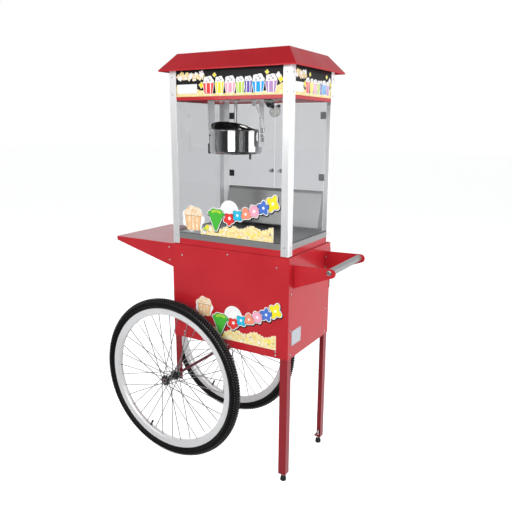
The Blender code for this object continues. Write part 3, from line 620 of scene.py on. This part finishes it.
def make_pot():
    """The polished pot with its pivot blocks, lid stops, drain and heater plate."""
    low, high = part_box("kettle_pot")
    center = middle_of("lid_bar")
    center = Vector((center.x, 0, low.z))
    top, outer, wall = high.z - low.z, 0.1, 0.0016
    build = Build()
    profile = [(0, 0)] + arc((outer - 0.012, 0.012), 0.012, 270, 360, 8)
    profile += [(outer, 0.0122), (outer, 0.0128), (outer, top - 0.0054), (outer, top - 0.0048)]
    profile += arc((outer + 0.0008, top - 0.0022), 0.0022, 270, 450, 8)
    profile += [(outer - wall, top)]
    profile += arc((outer - wall - 0.01, 0.0125), 0.01, 360, 270, 8) + [(0, 0.0025)]
    build.lathe(profile, center, Z, MIRROR, 112)
    for side in (-1, 1):
        wall_x = center.x + side * outer
        build.block((wall_x - side * 0.001, -0.012, 1.258), (wall_x + side * 0.0043, 0.012, 1.289),
                    BLACK, 0.001)
        for up in (1.2625, 1.285):
            for along in (-0.0075, 0.0075):
                build.screw((wall_x + side * 0.0043, along, up), X * side, 0.0022)
        start = Vector((wall_x + side * 0.003, 0, PIVOT_Z))
        build.rod(start, start + X * side * 0.0166, 0.004, ZINC, 24)
    for across in (-0.055, 0.07):
        build.block((across - 0.005, -0.094, 1.2745), (across + 0.005, -0.0915, 1.2805), BLACK,
                    spot=X * center.x)
    drain = Vector((center.x + 0.0766, -0.02, low.z))
    build.rod(drain + Z * 0.002, drain - Z * 0.007, 0.0042, BLACK, 20)
    build.block((-0.0035, -0.0035, -0.0185), (0.0035, 0.0035, -0.006), BLACK, 0.0012, drain)
    build.disc(center, Z, 0.072, -0.0004, 0.0006, STEEL, 64)
    build.piece("kettle_pot_polished", "kettle", "stainless", ["kettle_pot"])


def make_lever():
    """The tipping lever on the left pivot, with its hanging grip."""
    low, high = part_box("kettle_handle")
    build = Build()
    face = high.x
    outline = arc((0, PIVOT_Z), 0.007, 0, 180, 12) + arc((0, 1.24), 0.0062, 180, 360, 12)
    build.slab(outline, lambda along, up, lift: Vector((face - lift, along, up)), 0.0, BLACK, 0.0029)
    length = 0.04
    build.lathe([(0, 0), (0.004, 0), (0.0056, 0.0012), (0.0063, 0.005), (0.0065, 0.012),
                 (0.0058, 0.02), (0.0062, 0.029), (0.0065, length - 0.003),
                 (0.0056, length - 0.0008), (0.004, length), (0, length)],
                (low.x + 0.0065, 0, low.z), Z, PLASTIC, 32)
    hexagon(build, Vector((face - 0.0029, 0, PIVOT_Z)), -X, -0.0003, 0.003, 0.0052, ZINC)
    build.piece("kettle_lever", "kettle", "black_metal", ["kettle_handle"])


def make_hanger_hardware():
    """Ceiling screws, the latch knob on the left hanger and two terminals on the right one."""
    build = Build()
    for node in ("hanger_left", "hanger_right"):
        top = middle_of(node, up=1.0)
        for along in (-0.006, 0.006):
            build.screw((top.x, along, top.z - 0.0022), -Z, 0.0026)
    left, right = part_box("hanger_left")[1].x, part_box("hanger_right")[1].x + 0.0002
    build.lathe([(0, 0), (0.0075, 0), (0.0085, 0.0015), (0.0085, 0.0065), (0.007, 0.008),
                 (0, 0.0082)], (left - 0.0022, 0, 1.35), -X, PLASTIC, 28)
    for up, half in ((1.296, 0.0085), (1.262, 0.006)):
        build.block((right, -half, up - half), (right + 0.0083, half, up + half), PLASTIC, 0.0014)
    for along in (0.012, -0.012):
        build.screw((right, along, 1.34), X, 0.0032)
    build.piece("hanger_hardware", "body", "black_metal")


def make_lamp():
    """A clear bulb with a filament, leaning down to the right under its ribbed socket."""
    low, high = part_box("lamp_bulb")
    lean, radius = math.radians(36), 0.021
    way = Vector((math.sin(lean), 0, -math.cos(lean)))
    center = Vector((high.x - radius, 0, low.z + radius))
    build = Build()
    outside = arc((0, 0), radius, 90, -62, 19)
    outside[0] = (0, radius)
    outside += [(0.009, -0.0205), (0.0086, -0.025)]
    inside = [(max(0.0, across - 0.0005), up - 0.0005 if across < 0.002 else up)
              for across, up in reversed(outside)]
    build.lathe(outside + inside, center, way, BULB, 48)
    stem = center - way * 0.0246
    build.rod(stem, stem + way * 0.014, 0.0022, BULB, 16)
    knees = []
    for side in (-1, 1):
        knee = center - way * 0.002 + Y * side * 0.0065
        knees.append(knee)
        build.rod(stem + way * 0.012 + Y * side * 0.0012, knee, 0.00028, GLOW, 8)
    last = knees[0]
    for step in range(1, 25):
        share = step / 24
        point = knees[0].lerp(knees[1], share) + way * 0.003 * math.sin(math.pi * share)
        point += X * 0.0007 * math.sin(share * 40)
        build.rod(last, point, 0.00022, GLOW, 6)
        last = point
    build.piece("lamp_bulb_clear", "body", "bulb", ["lamp_bulb"])
    build = Build()
    end = center - way * 0.0255
    for step in range(5):
        build.lathe([(0.0148, -0.0007), (0.0157, -0.0003), (0.0157, 0.0003), (0.0148, 0.0007)],
                    end - way * (0.0055 + 0.0028 * step), way, BLACK, 40, ring=True)
    build.piece("lamp_socket_ribs", "body", "black_plastic")


def make_cable():
    """The kettle's sleeved cable: down from the ceiling, three turns, then to the right pivot."""
    points = [(0.032, -0.027, 1.4126), (0.032, -0.027, 1.408)]
    coils, steps = 3, 14
    for step in range(coils * steps + 1):
        angle = 2.0 * math.pi * step / steps
        points.append((0.023 + 0.009 * math.cos(angle), -0.027 + 0.009 * math.sin(angle),
                       1.405 - 0.0075 * step / steps))
    points += [(0.0345, -0.028, 1.374), (0.044, -0.026, 1.357), (0.0478, -0.016, 1.335),
               (0.0482, -0.004, 1.308), (0.0482, 0.0, PIVOT_Z)]
    curve = bpy.data.curves.new("kettle_cable_sleeve", "CURVE")
    curve.dimensions = "3D"
    curve.bevel_depth = 0.0022
    curve.bevel_resolution = 4
    curve.resolution_u = 3
    curve.use_fill_caps = True
    spline = curve.splines.new("NURBS")
    spline.points.add(len(points) - 1)
    for point, (x, y, z) in zip(spline.points, points):
        point.co = (MIDDLE + x, y, z, 1.0)
    spline.order_u = 3
    spline.use_endpoint_u = True
    curve.materials.append(SLEEVE)
    obj = placed("kettle_cable_sleeve", curve)
    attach(obj, "body")
    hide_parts("kettle_cable")


# ---- printed pictures

class Page:
    """Thin layers of ink on a flat panel that faces the front, the left (-1) or the right (1)."""

    def __init__(self, plane, side=0):
        self.build = Build()
        self.plane, self.side = plane, side

    def spot(self, across, up, lift):
        if self.side:
            return Vector((self.plane + self.side * lift, self.side * across, up))
        return Vector((MIDDLE + across, self.plane - lift, up))

    def ink(self, loop, lift, color, width=0.0):
        """A filled outline, grown by a width. A higher lift covers a lower one."""
        shape = grown(loop, width) if width else loop
        self.build.slab(shape, self.spot, lift * LAYER, INK[color])


def wavy(center, radius, waves, depth, turn=0.0, count=48, stretch=1.0):
    """A round outline with even bulges, as (across, up) points."""
    points = []
    for step in range(count):
        angle = 2 * math.pi * step / count
        reach = radius * (1 + depth * math.cos(waves * angle + turn))
        points.append((center[0] + reach * math.cos(angle),
                       center[1] + reach * stretch * math.sin(angle)))
    return points


def grown(loop, width):
    """An outline pushed outward by a width."""
    count = len(loop)
    area = sum(loop[i][0] * loop[(i + 1) % count][1] - loop[(i + 1) % count][0] * loop[i][1]
               for i in range(count))
    sign = 1 if area > 0 else -1
    points = []
    for step, (across, up) in enumerate(loop):
        before, after = Vector(loop[step - 1]), Vector(loop[(step + 1) % count])
        here = Vector((across, up))
        one, two = (here - before).normalized(), (after - here).normalized()
        normal = Vector((one.y + two.y, -one.x - two.x))
        if normal.length < 1e-6:
            normal = Vector((one.y, -one.x))
        normal.normalize()
        stretch = min(1.6, 1 / max(0.4, normal.dot(Vector((one.y, -one.x)))))
        move = normal * width * sign * stretch
        points.append((across + move.x, up + move.y))
    return points


def trapezoid(center, low, high, top_half, bottom_half):
    return [(center - bottom_half, low), (center + bottom_half, low), (center + top_half, high),
            (center - top_half, high)]


def outlined(page, loop, color, lift, white, black):
    """A coloured shape with a white and a black outline, each as wide as given."""
    page.ink(loop, lift, "black", black)
    page.ink(loop, lift + 6, "white", white)
    page.ink(loop, lift + 12, color)


def draw_cup(page, center, half, color, lift, low, high):
    """A filled popcorn cup with two pale stripes and a white popcorn top."""
    body = trapezoid(center, low, high, half, half * 0.72)
    head = wavy((center, high + half * 0.32), half * 0.98, 5, 0.1, 0.6, 40, 0.74)
    page.ink(head, lift, "black", 0.0024)
    page.ink(body, lift, "white", 0.002)
    page.ink(head, lift + 6, "white")
    page.ink(body, lift + 12, color)
    for shift in (-0.42, 0.42):
        page.ink(trapezoid(center + half * shift, low + 0.001, high - 0.001, half * 0.11, half * 0.07),
                 lift + 18, "white")
    for across, up, size in ((-0.35, 0.25, 0.16), (0.3, 0.4, 0.18), (0.0, 0.7, 0.15)):
        kernel = wavy((center + half * across, high + half * up), half * size, 3, 0.2, 0, 20)
        page.ink(kernel, lift + 18, "grey")


def draw_sign(page, half, low, high):
    """The band under the roof: popcorn below, a blank plate, and a row of coloured cups."""
    squeeze = half / SIGN_HALF
    steps = 60
    top = []
    for step in range(steps + 1):
        across = half - 2 * half * step / steps
        rise = 0.0085 + 0.03 * max(0.0, (across / half - 0.55) / 0.45) ** 1.5
        rise += 0.033 * max(0.0, (-across / half - 0.3) / 0.7) ** 0.8
        top.append((across, low + rise + 0.0012 * math.sin(step * 1.9)))
    page.ink([(-half, low), (half, low)] + top, 0, "cream")
    for step in range(15):
        across = -half + (0.01 + 0.0078 * step) * squeeze
        up = high - 0.013 - 0.015 * (0.5 + 0.5 * math.sin(step * 2.3))
        size = 0.0095 * (0.8 + 0.4 * DICE.random()) * squeeze ** 0.5
        loop = wavy((across, up), size, 4 + step % 3, 0.16, step)
        lift = 4 * (step % 2)
        page.ink(loop, lift, "black", 0.0014)
        page.ink(loop, lift + 12, ("froth", "white", "cream")[step % 3])
    plate = trapezoid(-0.171 * squeeze, low + 0.011, low + 0.042, 0.043 * squeeze, 0.043 * squeeze)
    page.ink(plate, 18, "grey", 0.0008)
    page.ink(plate, 24, "white")
    row = ((-0.078, 0.0225, "red"), (-0.031, 0.0185, "yellow"), (0.013, 0.022, "pink"),
           (0.053, 0.0175, "lime"), (0.086, 0.0155, "violet"), (0.125, 0.0235, "sky"),
           (0.174, 0.0215, "purple"))
    for number, (center, width, color) in enumerate(row):
        draw_cup(page, center * squeeze, width * squeeze, color, 30 + 26 * (number % 2),
                 low + 0.0085 + 0.001 * (number % 3), low + 0.0445 + 0.002 * math.sin(number * 2.0))
    stars = ((-0.108, 0.038, 0.009, "yellow"), (0.158, 0.072, 0.006, "yellow"),
             (0.2, 0.06, 0.009, "white"), (0.21, 0.048, 0.008, "yellow"),
             (-0.052, 0.071, 0.006, "yellow"))
    for center, up, size, color in stars:
        outlined(page, wavy((center * squeeze, low + up), size, 4, 0.22, 0.5, 32), color, 0,
                 0.0008, 0.0018)


def draw_heap(page, left, right, low, high):
    """A bank of popcorn with a bumpy top, and loose kernels over it."""
    steps = 90
    top = []
    for step in range(steps + 1):
        share = step / steps
        up = high - 0.0065 + 0.0065 * math.cos(share * 22.0) - 0.02 * share ** 2
        up += 0.0022 * math.sin(step * 1.7) - 0.001 * math.cos(step * 0.9)
        top.append((right - (right - left) * share, up))
    outline = [(left, low), (right, low)] + top
    page.ink(outline, 0, "white", 0.001)
    page.ink(outline, 5, "cream")
    for number in range(46):
        across = left + 0.006 + (right - left - 0.012) * DICE.random()
        up = low + 0.005 + (high - low - 0.026) * DICE.random()
        kernel = wavy((across, up), 0.0028 + 0.0016 * DICE.random(), 4, 0.25, number, 16)
        page.ink(kernel, 11, ("froth", "yellow", "white")[number % 3])


def draw_carton(page, center, low, high, half):
    """A plain striped carton of popcorn."""
    wall = low + (high - low) * 0.62
    page.ink(wavy((center, (low + high) / 2), half * 1.25, 7, 0.06, 0, 56, (high - low) / half / 2.3),
             4, "white")
    head = wavy((center, wall + half * 0.15), half * 0.98, 6, 0.1, 0.4, 48, 0.72)
    body = trapezoid(center, low, wall, half * 0.92, half * 0.72)
    page.ink(head, 10, "peach", 0.0012)
    page.ink(head, 16, "froth")
    page.ink(body, 22, "black", 0.001)
    page.ink(body, 28, "peach")
    for shift in (-0.44, 0.0, 0.44):
        page.ink(trapezoid(center + half * shift, low + 0.0008, wall - 0.0008, half * 0.13, half * 0.09),
                 34, "froth")


def draw_row(page, across, up, tilt):
    """The rising row of coloured shapes over a popcorn heap."""
    def at(x, z):
        return x + across, z + up + tilt * (x - 0.008)

    draw_heap(page, -0.12 + across, 0.189 + across, 0.9165 + up, 0.968 + up)
    disc = wavy(at(0.007, 1.014), 0.0385, 9, 0.0, 0, 56, 0.96)
    page.ink(disc, 16, "grey", 0.001)
    page.ink(disc, 20, "white")
    for step in range(13):
        angle = math.radians(12 + 13 * step)
        for reach in (0.022, 0.029):
            dot = at(0.007 + reach * math.cos(angle), 1.014 + reach * math.sin(angle))
            page.ink(wavy(dot, 0.0011, 3, 0.0, 0, 10), 26, "grey")
    cone = [at(-0.083, 1.0), at(-0.056, 0.937), at(-0.048, 0.937), at(-0.018, 1.0)]
    shapes = [
        (cone, "green"),
        (wavy(at(-0.05, 0.999), 0.0335, 6, 0.08, 0.5, 48, 0.52), "green"),
        (wavy(at(0.006, 0.9835), 0.0205, 5, 0.14, 1.5), "red"),
        (wavy(at(0.042, 0.9985), 0.019, 4, 0.2, 3.1), "cyan"),
        (wavy(at(0.0765, 1.0074), 0.0195, 3, 0.18, 1.2), "orange"),
        (wavy(at(0.1115, 1.02), 0.02, 6, 0.12, 0.0), "pink"),
        (wavy(at(0.149, 1.0345), 0.0205, 5, 0.24, -1.4), "blue"),
        (wavy(at(0.1865, 1.052), 0.0205, 4, 0.26, 1.8, 48, 1.2), "yellow"),
    ]
    for loop, color in shapes:
        shadow = [(x + 0.0022, z - 0.003) for x, z in loop]
        page.ink(shadow, 24, "white", 0.005)
        page.ink(shadow, 30, "black", 0.0055)
        page.ink(loop, 36, "white", 0.0038)
        page.ink(loop, 42, "black", 0.001)
    for number, (loop, color) in enumerate(shapes):
        page.ink(loop, 54 if number == 1 else 48, color)
    for step in range(4):
        angle = math.radians(35 + 35 * step)
        spot = at(-0.05 + 0.02 * math.cos(angle), 0.999 + 0.01 * math.sin(angle))
        page.ink(wavy(spot, 0.0052, 4, 0.2, step, 24), 60, "lime")
    for x, z, size in ((0.0085, 0.9865, 0.006), (0.0765, 1.0074, 0.005), (0.1115, 1.02, 0.006),
                       (0.149, 1.0345, 0.005), (0.1865, 1.052, 0.005), (0.042, 1.0, 0.005)):
        page.ink(wavy(at(x, z), size, 5, 0.2, 0.3, 24), 54, "white")
    for x, z, color in ((-0.1, 0.938, "lime"), (-0.09, 0.947, "yellow"), (-0.104, 0.927, "white")):
        outlined(page, wavy(at(x, z), 0.0075, 4, 0.18, x * 50, 28), color, 16, 0.0006, 0.0012)


def make_prints():
    """The printed signs under the roof, and the pictures on the front pane and the cart."""
    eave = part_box("roof")[0].z
    for node, side in (("sign_front", 0), ("sign_left", -1), ("sign_right", 1)):
        low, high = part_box(node)
        face = (low.x, low.y, high.x)[side + 1]
        page = Page(face + (side or -1) * PRINT_GAP, side)
        draw_sign(page, 0.144 if side else SIGN_HALF, low.z + 0.0001, eave + 0.001)
        page.build.piece(node + "_print", "body", "sign_black")
    pictures = (
        ("glass_front", "glass_print", (-0.155, 0.928, 1.016, 0.04), (0.0, 0.0, 0.0)),
        ("cart_front_panel", "cart_print", (-0.108, 0.6, 0.672, 0.032), (0.017, -0.3925, 0.06)),
    )
    for node, name, carton, row in pictures:
        page = Page(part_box(node)[0].y - PRINT_GAP)
        draw_carton(page, *carton)
        draw_row(page, *row)
        page.build.piece(name, "body", "sign_black")


# ---- hardware

def make_screws():
    """The screws of the posts, and of the cart's front and side panels."""
    build = Build()
    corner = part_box("post_front_right")
    front, side = corner[0].y, corner[1].x - MIDDLE
    for left in (-1, 1):
        for up in (1.482, 1.421, 0.9035):
            for near in (-1, 1):
                build.screw((MIDDLE + left * 0.235, -near * front, up), Y * near, 0.003)
                build.screw((MIDDLE + left * side, near * 0.16, up), X * left, 0.003)
    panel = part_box("cart_front_panel")[0].y
    for x, z in ((-0.2095, 0.826), (0.206, 0.829), (0.205, 0.516), (0.205, 0.503),
                 (-0.205, 0.516), (-0.205, 0.503), (0.0, 0.852), (0.0, 0.503)):
        build.screw((MIDDLE + x, panel, z), -Y, 0.0036)
    right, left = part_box("cart_right_panel")[1].x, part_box("cart_left_panel")[0].x
    for y, z in ((-0.1555, 0.508), (-0.158, 0.599), (0.144, 0.505), (0.144, 0.6),
                 (-0.1555, 0.735), (0.1555, 0.735)):
        build.screw((right, y, z), X, 0.0036)
        build.screw((left, y, z), -X, 0.0036)
    build.piece("cart_screws", "body", "chrome")


def make_plate():
    """A blank aluminium rating plate on the right panel, with round corners and four rivets."""
    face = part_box("cart_right_panel")[1].x
    page = Page(face, 1)
    middle, across, up, inset = (-0.1105, 0.5675), 0.0375, 0.0285, 0.0035
    turns = ((1, 1, 0), (-1, 1, 90), (-1, -1, 180), (1, -1, 270))
    corners = []
    for x, z, start in turns:
        spot = (middle[0] + x * (across - inset), middle[1] + z * (up - inset))
        corners += arc(spot, inset, start, start + 90, 5)
    label = [(x * 0.9 + middle[0] * 0.1, z * 0.88 + middle[1] * 0.12) for x, z in corners]
    page.build.slab(corners, page.spot, 0.0, ZINC, 0.0006)
    page.build.slab(label, page.spot, 0.0006, INK["silver"], 0.0001)
    for x, z, start in turns:
        spot = (face + 0.0006, middle[0] + x * (across - 0.004), middle[1] + z * (up - 0.004))
        page.build.lathe([(0, 0), (0.0016, 0), (0.0013, 0.0007), (0, 0.001)], spot, X, ZINC, 16)
    page.build.piece("rating_plate", "body", "aluminium")


def make_clear_doors():
    """Hinges, a knob and a magnet plate on each of the two clear rear doors."""
    pin_x, pin_y = 0.219, 0.1775
    for name, side in (("door_left", -1), ("door_right", 1)):
        low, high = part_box(name)
        edge, inner = (low.x, high.x) if side < 0 else (high.x, low.x)
        build, fixed = Build(), Build()
        for up in (1.353, 1.1185):
            pin = Vector((MIDDLE + side * pin_x, pin_y, up))
            wing = Vector((edge, high.y, up))
            build.block((-side * 0.022, 0, -0.013), (-side * 0.0006, 0.0016, 0.013), BLACK,
                        0.0004, wing)
            build.block(wing + Vector((-side * 0.001, 0.0006, -0.0042)),
                        pin + Vector((0, 0.0008, 0.0042)), BLACK)
            build.rod(pin - Z * 0.0044, pin + Z * 0.0044, 0.0022, BLACK, 20)
            for down in (-0.0085, 0.0085):
                build.screw(wing + Vector((-side * 0.013, 0.0016, down)), Y, 0.002)
            for start, stop in ((-0.013, -0.0048), (0.0048, 0.013)):
                fixed.rod(pin + Z * start, pin + Z * stop, 0.0022, BLACK, 20)
                fixed.block((0, -0.001, start), (side * 0.018, 0.0004, stop), BLACK, spot=pin)
                fixed.block((side * 0.004, -0.0023, start), (side * 0.018, -0.0008, stop), BLACK,
                            spot=pin)
        grip = Vector((inner + side * 0.018, high.y, 1.135))
        build.lathe([(0, -0.0002), (0.005, -0.0002), (0.0042, 0.002), (0.0035, 0.007),
                     (0.007, 0.0105), (0.0085, 0.014), (0.0078, 0.0172), (0.005, 0.0188),
                     (0, 0.0192)], grip, Y, ZINC, 32)
        build.lathe([(0, 0.0002), (0.0042, 0.0002), (0.0042, -0.0022), (0.0028, -0.003),
                     (0, -0.0032)], (grip.x, low.y, grip.z), Y, ZINC, 24)
        build.block((side * 0.004, 0, -0.014), (side * 0.02, 0.0012, -0.003), ZINC,
                    spot=(inner, high.y, high.z))
        build.piece(name + "_fittings", name, "black_metal")
        fixed.piece(name + "_hinges", "body", "black_metal")


def make_header():
    """Frames about the three rockers, the power inlet and the corner screws."""
    low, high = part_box("control_panel")
    build = Build()
    wide, tall, bar = 0.0074, 0.0119, 0.0028
    for node in ("switch_power", "switch_heat", "switch_light"):
        spot = (middle_of(node).x, high.y, 1.452)
        for side in (1, -1):
            build.block((-wide - bar, 0, side * tall), (wide + bar, 0.0016, side * (tall + bar)),
                        PLASTIC, spot=spot)
        for side in (-1, 1):
            build.block((side * wide, 0, -tall), (side * (wide + bar), 0.0016, tall), PLASTIC,
                        spot=spot)
    inlet = Vector((MIDDLE - 0.15, high.y, 1.45))
    build.block((-0.024, 0, -0.0135), (0.024, 0.0022, 0.0135), PLASTIC, 0.001, inlet)
    build.block((-0.0135, 0.0022, -0.0095), (0.0135, 0.005, 0.0095), PLASTIC, 0.0016, inlet)
    for across, up in ((-0.007, -0.002), (0.0, 0.003), (0.007, -0.002)):
        build.block((-0.001, 0.005, -0.002), (0.001, 0.0072, 0.002), ZINC,
                    spot=inlet + Vector((across, 0, up)))
    for side in (-1, 1):
        build.screw(inlet + Vector((side * 0.0195, 0.0022, 0)), Y, 0.0024)
        for up in (low.z + 0.012, high.z - 0.035):
            build.screw((MIDDLE + side * 0.208, high.y, up), Y, 0.003)
    build.piece("header_fittings", "body", "black_plastic")


def make_apron_screws():
    build = Build()
    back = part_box("rear_apron")[1].y
    for side in (-1, 1):
        for up in (0.915, 1.05):
            build.screw((MIDDLE + side * 0.205, back, up), Y, 0.003)
    build.piece("apron_screws", "body", "chrome")


def make_drawer_pull():
    low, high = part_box("crumb_drawer")
    build = Build()
    spot = Vector((MIDDLE, high.y, (low.z + high.z) / 2))
    for side in (-1, 1):
        foot = spot + X * side * 0.04
        build.rod(foot - Y * 0.0002, foot + Y * 0.014, 0.003, ZINC, 20)
        build.lathe([(0, 0), (0.003, 0), (0.003, 0.002), (0, 0.0022)], foot + Y * 0.011,
                    X * side, ZINC, 20)
    bar = spot + Y * 0.014
    build.rod(bar - X * 0.046, bar + X * 0.046, 0.0034, ZINC, 24, 0.0012)
    build.piece("drawer_pull", "drawer", "chrome")


def make_cart_door_fittings():
    """Two hinges, the pull and the turn catch of the cart's rear door."""
    low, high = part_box("cart_door")
    pin_x, pin_y = 0.2555, 0.1758
    build, fixed = Build(), Build()
    for up in (0.7, 0.83):
        pin = Vector((MIDDLE + pin_x, pin_y, up))
        wing = Vector((high.x, high.y, up))
        build.block((-0.026, 0, -0.018), (-0.001, 0.0014, 0.018), ZINC, spot=wing)
        build.rod(pin - Z * 0.006, pin + Z * 0.006, 0.0018, ZINC, 20)
        for start, stop in ((-0.018, -0.0064), (0.0064, 0.018)):
            fixed.rod(pin + Z * start, pin + Z * stop, 0.0018, ZINC, 20)
        for down in (-0.011, 0.011):
            build.screw(wing + Vector((-0.014, 0.0014, down)), Y, 0.0024)
    grip = Vector((low.x + 0.03, high.y, 0.76))
    for side in (-1, 1):
        foot = grip + Z * side * 0.045
        build.rod(foot - Y * 0.0002, foot + Y * 0.022, 0.0036, ZINC, 20)
    bar = grip + Y * 0.022
    build.rod(bar - Z * 0.052, bar + Z * 0.052, 0.004, ZINC, 24, 0.0014)
    build.lathe([(0, 0), (0.009, 0), (0.009, 0.0012), (0.008, 0.002), (0, 0.002)],
                grip + Z * 0.08, Y, ZINC, 32)
    build.block((-0.0006, 0.0018, 0.076), (0.0006, 0.0023, 0.084), BLACK, 0.0001, grip)
    build.piece("cart_door_fittings", "cart_door", "chrome")
    fixed.piece("cart_door_hinges", "body", "chrome")


def make_feet():
    """The rubber pads of the screw feet, each with its nut and thread."""
    for name in ("foot_front", "foot_rear"):
        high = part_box(name)[1]
        spot = middle_of(name, up=0.0)
        build = Build()
        build.lathe([(0, 0), (0.0105, 0), (0.0115, 0.001), (0.0115, 0.004), (0.0112, 0.008),
                     (0.0098, 0.0165), (0.009, 0.018), (0, 0.0182)], spot, Z, RUBBER, 40)
        hexagon(build, spot, Z, 0.0182, 0.0222, 0.0072, ZINC)
        thread = [(0, 0.0215), (0.0036, 0.0215)]
        up = 0.022
        while up < high.z - 0.002:
            thread += [(0.0036, up), (0.004, up + 0.0006)]
            up += 0.00125
        thread += [(0.0034, high.z), (0, high.z)]
        build.lathe(thread, spot, Z, ZINC, 20)
        build.piece(name + "_leveller", name, "rubber", [name])


def make_handle():
    """The push bar and the screws that hold it and its two arms."""
    low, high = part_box("handle_tube")
    center = middle_of("handle_tube")
    radius, half, round_off = (high.z - low.z) / 2, (high.y - low.y) / 2, 0.0003
    build = Build()
    end = [(radius - 0.0012, half), (radius - round_off, half), (radius, half - round_off)]
    build.lathe(mirrored(end), center, Y, RAIL, 72, ring=True)
    build.piece("handle_bar", "body", "aluminium", ["handle_tube"])
    build = Build()
    for node, side in (("handle_arm_front", -1), ("handle_arm_rear", 1)):
        arm_low, arm_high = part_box(node)
        spot = Vector((center.x, arm_low.y if side < 0 else arm_high.y, center.z))
        hexagon(build, spot, Y * side, 0.0, 0.0042, 0.0072, ZINC)
        build.disc(spot, Y * side, 0.0092, -0.0001, 0.001, ZINC)
        for up in (0.776, 0.816):
            build.screw((arm_low.x + 0.002, side * 0.129, up), X, 0.004)
    build.piece("handle_screws", "body", "chrome")


def make_shelf_details():
    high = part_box("shelf")[1]
    build = Build()
    for side in (-1, 1):
        for up in (0.85, 0.8):
            build.screw((high.x - 0.016, side * high.y, up), Y * side, 0.0036)
        for up in (0.8, 0.845):
            hexagon(build, Vector((high.x - 0.0016, side * 0.12, up)), -X, 0.0, 0.004, 0.006, ZINC)
    build.piece("shelf_screws", "body", "chrome")


def make_gaskets():
    """Soft black seals where the panes meet the bottom rail and the trim."""
    build = Build()
    low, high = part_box("glass_front")
    for up, thick in ((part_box("bottom_rail")[1].z, 0.0016), (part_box("trim_strip")[0].z, -0.0016)):
        build.block((low.x + 0.022, low.y - 0.0011, up), (high.x - 0.022, low.y - 0.0002, up + thick),
                    PLASTIC, 0.0002)
        for face, side in ((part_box("glass_left")[0].x, -1), (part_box("glass_right")[1].x, 1)):
            build.block((face + side * 0.0002, -0.143, up),
                        (face + side * 0.0011, 0.143, up + thick), PLASTIC, 0.0002)
    build.piece("pane_gaskets", "body", "black_plastic")


def make_floor():
    """A plain white floor that glows a little to the camera, so that it stays pale far away."""
    mesh = bpy.data.meshes.new("studio_floor")
    shape = bmesh.new()
    bmesh.ops.create_grid(shape, x_segments=2, y_segments=2, size=30.0)
    shape.to_mesh(mesh)
    shape.free()
    graph = Graph(surface("studio_paper", (0.86, 0.86, 0.86), 0.0, 0.85, 2, 0.01, 0.02,
                          Emission_Color=(1.0, 1.0, 1.0, 1.0)))
    seen = graph.add("LightPath", {}, "Is Camera Ray")
    glow = graph.add("Math", {0: seen, 1: 0.75}, operation="MULTIPLY")
    graph.feed(graph.nodes["Principled BSDF"], {"Emission Strength": glow})
    mesh.materials.append(graph.owner)
    floor = placed("studio_floor", mesh)
    floor.location.z = -0.0005
    floor.visible_glossy = False


bpy.context.scene.view_settings.view_transform = "Standard"
for make in (make_camera, make_world, make_lights, make_floor, dress_nodes, make_wheels, make_pot,
             make_lever, make_hanger_hardware, make_lamp, make_cable, make_prints, make_screws,
             make_plate, make_clear_doors, make_header, make_apron_screws, make_drawer_pull,
             make_cart_door_fittings, make_feet, make_handle, make_shelf_details, make_gaskets):
    make()
